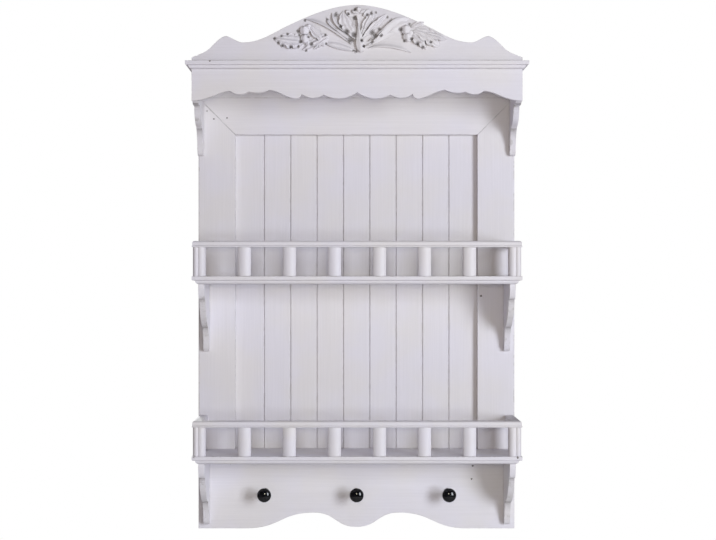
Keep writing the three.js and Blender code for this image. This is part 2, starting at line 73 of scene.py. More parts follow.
class Plane(Enum):
    """The plane that an outline is drawn in, as its two axes and the axis through it."""

    FRONT = (0, 2, 1)
    PLAN = (0, 1, 2)
    SIDE = (1, 2, 0)

    def place(self, point: Sequence[float], depth: float) -> Vector:
        """Lay a flat point in space.

        Args:
            point: The point on the plane's two axes.
            depth: Its place on the axis through the plane.

        Returns:
            The point in the frame.
        """
        across, along, through = self.value
        spot = Vector((0, 0, 0))
        spot[across], spot[along], spot[through] = point[0], point[1], depth
        return spot


class Grain(Enum):
    """The axis that a board's grain, and so its brush strokes, run along."""

    ACROSS = 0
    DEEP = 1
    UPRIGHT = 2


class Fit(Enum):
    """How one piece of wood is cut to another."""

    CUT_AWAY = "DIFFERENCE"
    TRIMMED_TO = "INTERSECT"
    JOINED = "UNION"


def rectangle(low: Pair, high: Pair) -> list[Pair]:
    """Give the corners of a rectangle."""
    return [low, (high[0], low[1]), high, (low[0], high[1])]


@dataclass(frozen=True)
class Place:
    """The space that a node takes up at rest."""

    low: Vector
    high: Vector

    @classmethod
    def of(cls, node: str) -> "Place":
        """Read a node's space from the frame."""
        return cls(*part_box(node))

    @property
    def size(self) -> Vector:
        """The space's width, depth and height."""
        return self.high - self.low

    @property
    def middle(self) -> Vector:
        """The space's centre."""
        return (self.low + self.high) / 2

    def flank(self, side: int) -> float:
        """Give where the space ends at the left, for a side of -1, or at the right, for 1."""
        return self.high.x if side > 0 else self.low.x

    def corners(self, plane: Plane) -> list[Pair]:
        """Give the four corners of the space as seen on a plane.

        Args:
            plane: The plane.

        Returns:
            The corners on the plane's two axes, in order round it.
        """
        across, along, _ = plane.value
        low, high = self.low, self.high
        return rectangle((low[across], low[along]), (high[across], high[along]))


class Outline:
    """An outline drawn with lines and curves."""

    def __init__(self, start: Pair, steps: int = 10) -> None:
        """Start the outline.

        Args:
            start: The first point.
            steps: How many stretches each curve is made of.
        """
        self.points = [Vector(start)]
        self.steps = steps

    def line(self, *ends: Pair) -> "Outline":
        """Draw straight lines from point to point."""
        self.points += [Vector(end) for end in ends]
        return self

    def curve(self, *handles: Pair) -> "Outline":
        """Draw a curve with one or two control points.

        Args:
            handles: The control points and then the end.

        Returns:
            The outline itself.
        """
        start, end = self.points[-1], Vector(handles[-1])
        controls = [Vector(handle) for handle in handles[:-1]]
        if len(controls) == 1:
            pull = 2 / 3
            controls = [knot.lerp(controls[0], pull) for knot in (start, end)]
        self.points += interpolate_bezier(start, *controls, end, self.steps + 1)[1:]
        return self

    def curves(self, stretches: Iterable[Sequence[Pair]]) -> "Outline":
        """Draw one curve after another.

        Args:
            stretches: The control points and the end of each curve.

        Returns:
            The outline itself.
        """
        for handles in stretches:
            self.curve(*handles)
        return self

    def arc(self, centre: Pair, radius: float, first: float, last: float) -> "Outline":
        """Draw a round stretch.

        Args:
            centre: The arc's centre.
            radius: Its radius.
            first: Its first angle in degrees.
            last: Its last angle in degrees.

        Returns:
            The outline itself.
        """
        for step in range(self.steps + 1):
            angle = math.radians(first + (last - first) * step / self.steps)
            reach = Vector((math.cos(angle), math.sin(angle))) * radius
            self.points.append(Vector(centre) + reach)
        return self

    def mirrored(self, width: float, foot: float, height: float) -> list[Vector]:
        """Scale an outline that runs from the middle to the right, and mirror it to the left.

        Args:
            width: The length of one unit across.
            foot: The height of the outline's zero.
            height: The length of one unit upwards.

        Returns:
            The points of both halves.
        """
        right = [Vector((point.x * width, foot + point.y * height)) for point in self.points]
        return right + [Vector((-point.x, point.y)) for point in reversed(right)]


class Workpiece:
    """A piece of stock on the bench, shaped with mesh operators."""

    def __init__(self) -> None:
        """Lay out an empty piece, with layers for how far each face is worn and how much painted shade it
        carries.
        """
        self.mesh = bmesh.new()
        self.find_layers()

    def find_layers(self) -> None:
        """Find the layers for wear and painted shade, or add them."""
        layers = self.mesh.faces.layers.float
        self.wear, self.painted_shade = (layers.get(name) or layers.new(name) for name in ("wear", "painted_shade"))

    @classmethod
    def sawn(
        cls, outline: Iterable[Sequence[float]], plane: Plane, stock: Place, over: float = 0,
    ) -> "Workpiece":
        """Saw an outline out of a board.

        Args:
            outline: The outline's points, without a repeat at its end.
            plane: The plane that they lie in.
            stock: The space that gives the board's two faces.
            over: How far the board passes both faces.

        Returns:
            The sawn piece.
        """
        through = plane.value[2]
        near, far = stock.low[through] - over, stock.high[through] + over
        piece = cls()
        for point in outline:
            piece.mesh.verts.new(plane.place(point, near))
        bmesh.ops.remove_doubles(piece.mesh, verts=piece.mesh.verts, dist=SEAM)
        face = piece.mesh.faces.new(piece.mesh.verts)
        piece.push([face], plane.place((0, 0), far - near))
        return piece.squared_up()

    @classmethod
    def block(cls, space: Place) -> "Workpiece":
        """Saw a plain block that fills a space."""
        return cls.sawn(space.corners(Plane.FRONT), Plane.FRONT, space)

    @classmethod
    def returned(cls, place: Place, section: list[Pair], end: list[Pair]) -> "Workpiece":
        """Run a section along a board's front and return it round both ends, mitred.

        Args:
            place: The space that the board takes up.
            section: The whole section, as places in depth and height.
            end: The part that returns, as insets from the end and heights.

        Returns:
            The board.
        """
        run = cls.sawn(section, Plane.SIDE, place, OVERRUN)
        right = [(place.high.x - inset, height) for inset, height in end]
        left = [(place.low.x + inset, height) for inset, height in reversed(end)]
        return run.fitted(Fit.TRIMMED_TO, cls.sawn([*right, *left], Plane.FRONT, place, OVERRUN))

    @classmethod
    def turned(cls, profile: Iterable[Pair], centre: Vector, axis: Vector, steps: int = 40) -> "Workpiece":
        """Turn a half section on the lathe.

        Args:
            profile: Points that each hold a radius and a place along the axis.
            centre: The axis's start.
            axis: The axis's direction, of length one.
            steps: How many facets go round.

        Returns:
            The turned piece.
        """
        piece = cls()
        outward = axis.orthogonal().normalized()
        chain = [piece.mesh.verts.new(centre + outward * out + axis * along) for out, along in profile]
        edges = [piece.mesh.edges.new(pair) for pair in zip(chain, chain[1:])]
        bmesh.ops.spin(
            piece.mesh, geom=chain + edges, cent=centre, axis=axis, angle=2 * math.pi,
            steps=steps, use_merge=True, use_duplicate=False,
        )
        return piece.squared_up()

    @classmethod
    def pin(cls, radius: float, centre: Pair, low: float, high: float, steps: int = 24) -> "Workpiece":
        """Turn a plain upright pin.

        Args:
            radius: Its radius.
            centre: Its centre in plan.
            low: The height of its foot.
            high: The height of its head.
            steps: How many facets go round.

        Returns:
            The pin.
        """
        piece = cls()
        place = Matrix.Translation((*centre, (low + high) / 2))
        bmesh.ops.create_cone(
            piece.mesh, cap_ends=True, segments=steps, radius1=radius, radius2=radius,
            depth=high - low, matrix=place,
        )
        return piece

    def push(self, faces: list[BMFace], travel: Vector) -> list[BMVert]:
        """Draw faces out of the piece.

        Args:
            faces: The faces to draw out.
            travel: How far they go.

        Returns:
            The moved corners.
        """
        drawn = bmesh.ops.extrude_face_region(self.mesh, geom=faces)
        moved = [item for item in drawn["geom"] if isinstance(item, BMVert)]
        bmesh.ops.translate(self.mesh, verts=moved, vec=travel)
        return moved

    def squared_up(self) -> "Workpiece":
        """Merge what coincides and turn every face outwards.

        Returns:
            The piece itself.
        """
        bmesh.ops.remove_doubles(self.mesh, verts=self.mesh.verts, dist=SEAM)
        bmesh.ops.recalc_face_normals(self.mesh, faces=self.mesh.faces)
        return self

    def sharp_edges(self, least: float = 40) -> list[BMEdge]:
        """Find the edges where two faces meet at a sharp angle.

        Args:
            least: The smallest angle, in degrees.

        Returns:
            The edges.
        """
        return [
            edge for edge in self.mesh.edges
            if edge.is_manifold and edge.calc_face_angle(0) > math.radians(least)
        ]

    def ease(self, width: float, edges: list[BMEdge] | None = None, segments: int = 2) -> "Workpiece":
        """Round edges over and mark the rounding as worn.

        Args:
            width: How far the rounding reaches from each edge.
            edges: The edges, or all sharp ones.
            segments: How many flats make up the rounding.

        Returns:
            The piece itself.
        """
        chosen = self.sharp_edges() if edges is None else edges
        eased = bmesh.ops.bevel(
            self.mesh, geom=chosen, offset=width, offset_type="OFFSET", segments=segments,
            profile=0.5, affect="EDGES", material=-1, clamp_overlap=True,
        )
        for face in eased["faces"]:
            face[self.wear] = 1
        return self

    def worn(self, amount: float, where: Callable[[BMFace], bool]) -> "Workpiece":
        """Mark the faces that pass a test as worn.

        Args:
            amount: How far they are worn, from 0 to 1.
            where: The test.

        Returns:
            The piece itself.
        """
        for face in filter(where, self.mesh.faces):
            face[self.wear] = amount
        return self

    def shade_painted(self, where: Callable[[Vector], float]) -> "Workpiece":
        """Paint shade on the faces as far as a rule says for their middles.

        Args:
            where: The rule, which gives a share from 0 to 1.

        Returns:
            The piece itself.
        """
        for face in self.mesh.faces:
            face[self.painted_shade] = where(face.calc_center_median())
        return self

    def fitted(self, fit: Fit, *others: "Workpiece") -> "Workpiece":
        """Cut this piece to others.

        Args:
            fit: How it is cut.
            others: The other pieces, which are used up.

        Returns:
            The piece itself.
        """
        blank = self.as_object("blank")
        tools = [other.as_object("tool") for other in others]
        for tool in tools:
            cut = blank.modifiers.new("Cut", "BOOLEAN")
            cut.operation, cut.solver, cut.object = fit.value, "EXACT", tool
        solid = blank.evaluated_get(bpy.context.evaluated_depsgraph_get())
        self.mesh = bmesh.new()
        self.mesh.from_mesh(solid.to_mesh())
        self.find_layers()
        for data in [thing.data for thing in (blank, *tools)]:
            bpy.data.meshes.remove(data)
        return self

    def as_object(self, name: str) -> bpy.types.Object:
        """Turn the mesh into an object of the scene.

        Args:
            name: The object's name.

        Returns:
            The new object, at the world's origin.
        """
        data = bpy.data.meshes.new(name)
        self.mesh.to_mesh(data)
        self.mesh.free()
        thing = bpy.data.objects.new(name, data)
        bpy.context.scene.collection.objects.link(thing)
        return thing


class Sheet:
    """The nodes of a material or of the world, laid and joined by short calls."""

    def __init__(self, owner: bpy.types.Material | bpy.types.World) -> None:
        """Clear the nodes of their owner.

        Args:
            owner: The material or the world that holds the nodes.
        """
        self.owner = owner
        owner.use_nodes = True
        self.nodes, self.links = owner.node_tree.nodes, owner.node_tree.links
        self.nodes.clear()

    def join(self, value: Value, socket: Socket) -> None:
        """Lead an output to a socket, or set the socket to a plain value.

        Args:
            value: Another node's output, or the value.
            socket: The input.
        """
        if isinstance(value, Socket):
            self.links.new(value, socket)
        elif socket.type == "RGBA":
            socket.default_value = (*value, 1)
        else:
            socket.default_value = value

    def add(self, kind: str, settings: dict | None = None, **inputs: Value) -> bpy.types.Node:
        """Add a node.

        Args:
            kind: The node's type, without its leading words.
            settings: The node's own options.
            inputs: Its inputs by name, with _ for a space, or by number after a single _.
                Each is a value, or another node's output.

        Returns:
            The new node.
        """
        node = self.nodes.new(f"ShaderNode{kind}")
        for name, value in (settings or {}).items():
            setattr(node, name, value)
        for name, value in inputs.items():
            key = int(name[1:]) if name[0] == "_" else name.replace("_", " ")
            self.join(value, node.inputs[key])
        return node

    def place(self) -> Socket:
        """Give the place on the piece, in the frame's metres."""
        return self.add("TexCoord").outputs["Object"]

    def noise(self, place: Value, scale: float, detail: float = 3, roughness: float = 0.5) -> Socket:
        """Give a smooth random value that varies over the piece."""
        node = self.add("TexNoise", Vector=place, Scale=scale, Detail=detail, Roughness=roughness)
        return node.outputs[0]

    def math(self, operation: str, first: Value, second: Value = 0.0) -> Socket:
        """Work out a sum of two values and give its output."""
        return self.add("Math", {"operation": operation}, _0=first, _1=second).outputs[0]

    def ramp(
        self, value: Value, low: float, high: float, out_low: float = 0.0, out_high: float = 1.0,
        course: str = "SMOOTHSTEP",
    ) -> Socket:
        """Map a range of a value on to another range, by default smoothly.

        Args:
            value: The value.
            low: The range's start.
            high: Its end.
            out_low: What the start becomes.
            out_high: What the end becomes.
            course: How it runs between them.

        Returns:
            The mapped value.
        """
        return self.add(
            "MapRange", {"interpolation_type": course}, Value=value,
            From_Min=low, From_Max=high, To_Min=out_low, To_Max=out_high,
        ).outputs[0]

    def mix(self, share: Value, first: Value, second: Value) -> Socket:
        """Mix two values by a share and give the output."""
        return self.add("Mix", _0=share, _2=first, _3=second).outputs[0]

    def blend(self, share: Value, first: Value, second: Value) -> Socket:
        """Blend two colours by a share and give the output."""
        return self.add("Mix", {"data_type": "RGBA"}, _0=share, _6=first, _7=second).outputs[2]

    def layer(self, name: str) -> Socket:
        """Give a value that the piece's faces carry."""
        return self.add("Attribute", {"attribute_name": name}).outputs["Fac"]

    def close(
        self, shader: bpy.types.Node, kind: str = "Material",
    ) -> bpy.types.Material | bpy.types.World:
        """Join the shader to the output and give the nodes' owner."""
        self.add(f"Output{kind}", Surface=shader.outputs[0])
        return self.owner


@dataclass(frozen=True)
class Finish:
    """What a piece is finished with: its slot, a word before the piece's name, and its material."""

    slot: str
    prefix: str
    label: str

    def material(self, grain: Grain) -> bpy.types.Material:
        """Give the material for a piece.

        Args:
            grain: The direction of the piece's grain.

        Returns:
            The material, mixed once for each name.
        """
        name = self.named(grain)
        found = bpy.data.materials.get(name)
        return found or self.mixed(Sheet(bpy.data.materials.new(name)), grain)

    def named(self, grain: Grain) -> str:
        """Name the material, here the same for every grain."""
        return self.label

    def mixed(self, sheet: Sheet, grain: Grain) -> bpy.types.Material:
        """Mix the material.

        Args:
            sheet: The material's nodes, still empty.
            grain: The direction of the piece's grain.

        Returns:
            The material.
        """
        raise NotImplementedError


@dataclass(frozen=True)
class ChipAndShadeSpot:
    """A small dent or chip that goes through the paint, or a spot of painted shade."""

    place: Triple
    radius: float


MARKS = (
    ChipAndShadeSpot((-0.303, -0.1775, 0.4375), 1.6 * MM),
    ChipAndShadeSpot((-0.3227, -0.025, 0.351), 1.3 * MM),
    ChipAndShadeSpot((-0.3076, -0.025, 0.334), 1.7 * MM),
    ChipAndShadeSpot((-0.2795, -0.025, 0.336), 1.5 * MM),
    ChipAndShadeSpot((0.2689, -0.025, -0.048), 2.2 * MM),
    ChipAndShadeSpot((-0.338, -0.161, -0.382), 3.6 * MM),
    ChipAndShadeSpot((0.332, -0.163, -0.381), 2.8 * MM),
    ChipAndShadeSpot((0.3385, -0.158, -0.383), 2.4 * MM),
    ChipAndShadeSpot((-0.2976, -0.164, 0.067), 1.7 * MM),
    ChipAndShadeSpot((-0.2852, -0.164, 0.067), 1.5 * MM),
    ChipAndShadeSpot((-0.324, -0.085, -0.405), 1.9 * MM),
    ChipAndShadeSpot((-0.272, -0.025, -0.410), 1.9 * MM),
    ChipAndShadeSpot((0.2507, -0.025, -0.415), 2.0 * MM),
    ChipAndShadeSpot((0.2484, -0.025, -0.4435), 1.7 * MM),
)


@dataclass(frozen=True)
class WhitePaint(Finish):
    """Chalky satin white paint over solid wood, brushed along the grain and lightly worn, with painted
    shade darkening its crevices, its shade spots and the faces marked for it.
    """

    slot: str = "white_paint"
    prefix: str = "painted"
    label: str = "white_paint"
    cool: Triple = (0.765, 0.75, 0.80)
    warm: Triple = (0.77, 0.75, 0.755)
    # Colour of the painted shade in crevices.
    crevice_shade: Triple = (0.40, 0.37, 0.36)
    primer: Triple = (0.50, 0.485, 0.465)
    # Colour of bare wood at chips, and of the painted shade at shade spots and on marked faces.
    bare_wood_and_shade: Triple = (0.10, 0.08, 0.065)
    stroke_length: float = 160 * MM
    stroke_width: float = 3.2 * MM
    stroke_height: float = 0.25 * MM
    stroke_shade: float = 0.965
    roughness: Pair = (0.42, 0.58)
    tint_scale: float = 7
    rub_scale: float = 60
    rub_range: Pair = (0.46, 0.6)
    rub_share: float = 0.75
    rub_dip: float = -0.3
    # Patch scale, reach and strength of the painted shade that ambient occlusion lays in crevices.
    crevice_shade_scale: float = 45
    crevice: float = 5 * MM
    crevice_shade_share: float = 0.6
    ragged_scale: float = 420
    spot_dip: float = -1.5
    chip_and_shade_spots: tuple[ChipAndShadeSpot, ...] = MARKS
    mark_edge: Pair = (0.75, 1.15)

    def named(self, grain: Grain) -> str:
        """Name the paint by the grain that it is brushed along."""
        return f"{self.label}_{grain.name.lower()}"

    def mixed(self, sheet: Sheet, grain: Grain) -> bpy.types.Material:
        """Mix the paint for one grain.

        Args:
            sheet: The material's nodes, still empty.
            grain: The direction of the piece's grain.

        Returns:
            The paint.
        """
        place = sheet.place()
        strokes = self.strokes(sheet, place, grain)
        tint = sheet.ramp(sheet.noise(place, self.tint_scale), 0.35, 0.65)
        coat = sheet.blend(tint, self.cool, self.warm)
        shade = sheet.ramp(strokes, 0.3, 0.7, self.stroke_shade, 1.0)
        toned = sheet.add("VectorMath", {"operation": "SCALE"}, _0=coat, Scale=shade).outputs[0]
        rubbed = self.rubbed(sheet, place)
        chips_and_shade = self.chips_and_shade(sheet, place)
        # Painted shade: the coat darkens in the crevices that ambient occlusion finds.
        shaded_coat = sheet.blend(self.crevice_shaded(sheet, place), toned, self.crevice_shade)
        worn = sheet.blend(rubbed, shaded_coat, self.primer)
        # Bare wood at chips, and painted shade at the shade spots and on the faces marked for it.
        colour = sheet.blend(chips_and_shade, worn, self.bare_wood_and_shade)
        spot_dips = sheet.math("MULTIPLY", chips_and_shade, self.spot_dip)
        dips = sheet.math("ADD", spot_dips, sheet.math("MULTIPLY", rubbed, self.rub_dip))
        relief = sheet.math("ADD", strokes, dips)
        bump = sheet.add("Bump", Strength=0.5, Distance=self.stroke_height, Height=relief)
        return sheet.close(sheet.add(
            "BsdfPrincipled", Base_Color=colour, Roughness=sheet.ramp(strokes, 0.2, 0.8, *self.roughness),
            Normal=bump.outputs[0],
        ))

    def strokes(self, sheet: Sheet, place: Value, grain: Grain) -> Socket:
        """Draw fine brush strokes along the grain.

        Args:
            sheet: The paint's nodes.
            place: The place on the piece.
            grain: The direction of the grain.

        Returns:
            The strokes' height, from 0 to 1.
        """
        scale = [1 / self.stroke_width] * 3
        scale[grain.value] = 1 / self.stroke_length
        along = sheet.add("Mapping", Vector=place, Scale=scale).outputs[0]
        return sheet.noise(along, 1, detail=4, roughness=0.6)

    def rubbed(self, sheet: Sheet, place: Value) -> Socket:
        """Find where hands have rubbed the edges down to the primer.

        Args:
            sheet: The paint's nodes.
            place: The place on the piece.

        Returns:
            The primer's share.
        """
        patches = sheet.noise(place, self.rub_scale, detail=5, roughness=0.7)
        wear = sheet.math("MULTIPLY", sheet.layer("wear"), patches)
        return sheet.ramp(wear, *self.rub_range, 0.0, self.rub_share)

    def crevice_shaded(self, sheet: Sheet, place: Value) -> Socket:
        """Find the crevices that are darkened with painted shade, from ambient occlusion in random patches.

        Args:
            sheet: The paint's nodes.
            place: The place on the piece.

        Returns:
            The painted shade's share.
        """
        open_sky = sheet.add("AmbientOcclusion", {"samples": 6}, Distance=self.crevice).outputs["AO"]
        patches = sheet.ramp(sheet.noise(place, self.crevice_shade_scale), 0.3, 0.7, 0.35, 1.0)
        return sheet.math("MULTIPLY", sheet.ramp(open_sky, 0.15, 0.8, self.crevice_shade_share, 0.0), patches)

    def chips_and_shade(self, sheet: Sheet, place: Value) -> Socket:
        """Find the dents and chips that go down to the wood, and the spots and faces that carry painted
        shade.

        Args:
            sheet: The paint's nodes.
            place: The place on the piece.

        Returns:
            The share of bare wood or of painted shade.
        """
        ragged = sheet.ramp(sheet.noise(place, self.ragged_scale, detail=2), 0.2, 0.8, -0.5, 0.5)
        whole = 0.0
        for mark in self.chip_and_shade_spots:
            away = sheet.add("VectorMath", {"operation": "DISTANCE"}, _0=place, _1=mark.place)
            reach = sheet.math("DIVIDE", away.outputs["Value"], mark.radius)
            hole = sheet.ramp(sheet.math("ADD", reach, ragged), *self.mark_edge, 1.0, 0.0)
            whole = sheet.math("MAXIMUM", whole, hole)
        # Faces marked with painted shade, in the carving's hollows and under the bracket notches.
        painted_shade = sheet.math("MULTIPLY", sheet.layer("painted_shade"), sheet.ramp(ragged, -0.4, 0.3, 0.7, 1.0))
        return sheet.math("MAXIMUM", whole, painted_shade)


@dataclass(frozen=True)
class BlackLacquer(Finish):
    """Glossy black lacquer over turned wood."""

    slot: str = "black_lacquer"
    prefix: str = "lacquered"
    label: str = "turned_black_lacquer"
    colour: Triple = (0.004, 0.004, 0.005)
    dust: Triple = (0.012, 0.012, 0.014)
    haze_scale: float = 260
    roughness: Pair = (0.04, 0.09)
    specular: float = 0.4

    def mixed(self, sheet: Sheet, grain: Grain) -> bpy.types.Material:
        """Mix the lacquer, whatever the grain under it.

        Args:
            sheet: The material's nodes, still empty.
            grain: The direction of the piece's grain.

        Returns:
            The lacquer.
        """
        haze = sheet.noise(sheet.place(), self.haze_scale, detail=4)
        return sheet.close(sheet.add(
            "BsdfPrincipled", Base_Color=sheet.blend(sheet.ramp(haze, 0.45, 0.7), self.colour, self.dust),
            Roughness=sheet.ramp(haze, 0.4, 0.8, *self.roughness), Specular_IOR_Level=self.specular,
        ))


@dataclass(frozen=True)
class ZincPlate(Finish):
    """Zinc plated sheet steel with a faint spangle."""

    slot: str = "zinc"
    prefix: str = "plated"
    label: str = "zinc_plate"
    bright: Triple = (0.62, 0.63, 0.65)
    dull: Triple = (0.45, 0.46, 0.47)
    metallic: float = 0.5
    roughness: Pair = (0.45, 0.6)
    spangle_scale: float = 320
    scratch_scale: float = 900
    scratch_depth: float = 0.05 * MM

    def mixed(self, sheet: Sheet, grain: Grain) -> bpy.types.Material:
        """Mix the plating, whatever way the sheet was rolled.

        Args:
            sheet: The material's nodes, still empty.
            grain: The direction of the piece's grain.

        Returns:
            The plating.
        """
        place = sheet.place()
        spangle = sheet.add("TexVoronoi", Vector=place, Scale=self.spangle_scale).outputs["Color"]
        grey = sheet.add("SeparateColor", Color=spangle).outputs[0]
        scratch = sheet.noise(place, self.scratch_scale)
        bump = sheet.add("Bump", Strength=0.2, Distance=self.scratch_depth, Height=scratch)
        return sheet.close(sheet.add(
            "BsdfPrincipled", Base_Color=sheet.blend(grey, self.bright, self.dull), Metallic=self.metallic,
            Roughness=sheet.ramp(scratch, 0.2, 0.8, *self.roughness), Normal=bump.outputs[0],
        ))


@dataclass
class Workshop:
    """The finishes, and the bench where pieces are finished and hung in the frame."""

    paint: WhitePaint = field(default_factory=WhitePaint)
    lacquer: BlackLacquer = field(default_factory=BlackLacquer)
    zinc: ZincPlate = field(default_factory=ZincPlate)
    smooth_angle: float = 42

    def hang(
        self, work: Workpiece, name: str, finish: Finish, grain: Grain, nodes: Sequence[str],
    ) -> bpy.types.Object:
        """Finish a piece and hang it in the frame.

        Args:
            work: The shaped piece, which is used up.
            name: The piece's name, before the finish's own word.
            finish: What it is finished with.
            grain: The direction of its grain.
            nodes: The nodes of the frame that it stands for.

        Returns:
            The finished piece.
        """
        piece = work.as_object(f"{finish.prefix}_{name}")
        piece.data.materials.append(finish.material(grain))
        piece.data.shade_smooth()
        piece.data.set_sharp_from_angle(angle=math.radians(self.smooth_angle))
        normals = piece.modifiers.new("Normals", "WEIGHTED_NORMAL")
        normals.keep_sharp = True
        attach(piece, BODY)
        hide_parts(*nodes)
        log.info("%s: %d faces", piece.name, len(piece.data.polygons))
        return piece

    def paint_up(self, work: Workpiece, node: str, grain: Grain) -> bpy.types.Object:
        """Paint a wooden piece that stands for one node, and hang it."""
        return self.hang(work, node, self.paint, grain, [node])


@dataclass
class BackFrame:
    """Two stiles and a top rail, mitred round the opening, with a head board over them."""

    easing: float = 0.7 * MM
    outer_easing: float = 2 * MM
    pocket_width: float = 14 * MM
    pocket_height: float = 28 * MM
    pocket_depth: float = 9 * MM

    def build(self, shop: Workshop) -> None:
        """Make the frame's four boards.

        Args:
            shop: The workshop that finishes the pieces.
        """
        for side, name in SIDES:
            shop.paint_up(self.stile(side, name), f"{name}_stile", Grain.UPRIGHT)
        shop.paint_up(self.top_rail(), "top_rail", Grain.ACROSS)
        head_board = Workpiece.block(Place.of("head_board"))
        shop.paint_up(head_board.ease(self.easing), "head_board", Grain.ACROSS)

    def stile(self, side: int, name: str) -> Workpiece:
        """Make one stile, mitred at its top, with a pocket for its hanger.

        Args:
            side: -1 for the left one and 1 for the right one.
            name: The side's name.

        Returns:
            The stile.
        """
        board, rail = Place.of(f"{name}_stile"), Place.of("top_rail")
        outer, inner = board.flank(side), board.flank(-side)
        mitre_foot = rail.low.z - (rail.high.z - board.high.z)
        corners = [
            (outer, board.low.z), (inner, board.low.z), (inner, mitre_foot), (outer, board.high.z),
        ]
        stile = Workpiece.sawn(corners, Plane.FRONT, board)
        plate = Place.of(f"{name}_hanger_plate").middle
        low = Vector((-self.pocket_width / 2, board.high.y - self.pocket_depth, -self.pocket_height / 2))
        high = Vector((self.pocket_width / 2, board.high.y + OVERRUN, self.pocket_height / 2))
        spot = Vector((plate.x, 0, plate.z))
        stile.fitted(Fit.CUT_AWAY, Workpiece.block(Place(spot + low, spot + high)))
        arris = Vector((outer, board.low.y))
        outer_edges = [
            edge for edge in stile.mesh.edges
            if all((vert.co.xy - arris).length < SEAM for vert in edge.verts)
        ]
        return stile.ease(self.outer_easing, outer_edges, segments=5).ease(self.easing)

    def top_rail(self) -> Workpiece:
        """Make the top rail, mitred at both ends.

        Returns:
            The rail.
        """
        board, half_opening = Place.of("top_rail"), Place.of("right_stile").low.x
        corners = [
            (-half_opening, board.low.z), (half_opening, board.low.z),
            (board.high.x, board.high.z), (board.low.x, board.high.z),
        ]
        return Workpiece.sawn(corners, Plane.FRONT, board).ease(self.easing)


@dataclass
class BackBoards:
    """Nine upright tongue and groove boards, chamfered so that each joint shows as a V."""

    count: int = 9
    tongue: float = 4 * MM
    tongue_thickness: float = 3 * MM
    clearance: float = 0.3 * MM
    chamfer: float = 1.7 * MM
    easing: float = 0.3 * MM

    def build(self, shop: Workshop) -> None:
        """Make the boards from left to right."""
        for number in range(1, self.count + 1):
            shop.paint_up(self.board(number), f"back_board_{number}", Grain.UPRIGHT)

    def board(self, number: int) -> Workpiece:
        """Make one board.

        Args:
            number: Its number, from 1 at the left.

        Returns:
            The board, with a groove on its left edge and a tongue on its right one.
        """
        place = Place.of(f"back_board_{number}")
        has_groove, has_tongue = number > 1, number < self.count
        left, right = place.low.x, place.high.x - self.tongue * has_tongue
        front, back = place.low.y, place.high.y
        middle, half = (front + back) / 2, self.tongue_thickness / 2
        section = Outline((left, back))
        if has_groove:
            slot, end = half + self.clearance, left + self.tongue + self.clearance
            section.line(*rectangle((left, middle + slot), (end, middle - slot)))
            section.line((left, front + self.chamfer), (left + self.chamfer, front))
        else:
            section.line((left, front))
        if has_tongue:
            tip = right + self.tongue
            section.line((right - self.chamfer, front), (right, front + self.chamfer))
            section.line(*rectangle((right, middle - half), (tip, middle + half)))
        else:
            section.line((right, front))
        section.line((right, back))
        return Workpiece.sawn(section.points, Plane.PLAN, place).ease(self.easing)


@dataclass
class Moulding:
    """A routed edge: an eased nose over a quirk and an ovolo. Each point is an inset and a drop."""

    inset: float = 12.5 * MM
    easing: float = 1 * MM
    nose: float = 5.5 * MM
    lip: Pair = (2.8 * MM, 8.6 * MM)
    quirk: Pair = (6.4 * MM, 9.4 * MM)
    ovolo: Pair = (6.8 * MM, 14.4 * MM)

    def profile(self, thickness: float) -> list[Vector]:
        """Draw the edge from the top face down.

        Args:
            thickness: The board's thickness.

        Returns:
            Points that each hold an inset and a drop.
        """
        edge = Outline((self.easing, 0), steps=5)
        edge.curve((0, 0), (0, self.easing)).line((0, self.nose))
        edge.curve((0, self.lip[1]), self.lip).line(self.quirk)
        edge.curve(self.ovolo, (self.inset, thickness))
        return edge.points

    def board(self, place: Place) -> Workpiece:
        """Rout the edge along a board's front and both its ends, mitred at the corners.

        Args:
            place: The space that the board takes up.

        Returns:
            The board.
        """
        top, foot = place.high.z, place.low.z
        edge = [(point.x, top - point.y) for point in self.profile(place.size.z)]
        front = [(place.low.y + inset, height) for inset, height in edge]
        end = [(self.easing, top + OVERRUN), *edge, (self.inset, foot - OVERRUN)]
        board = Workpiece.returned(place, [*front, (place.high.y, foot), (place.high.y, top)], end)
        return board.worn(1, lambda face: top - self.easing < face.calc_center_median().z < top - SEAM)


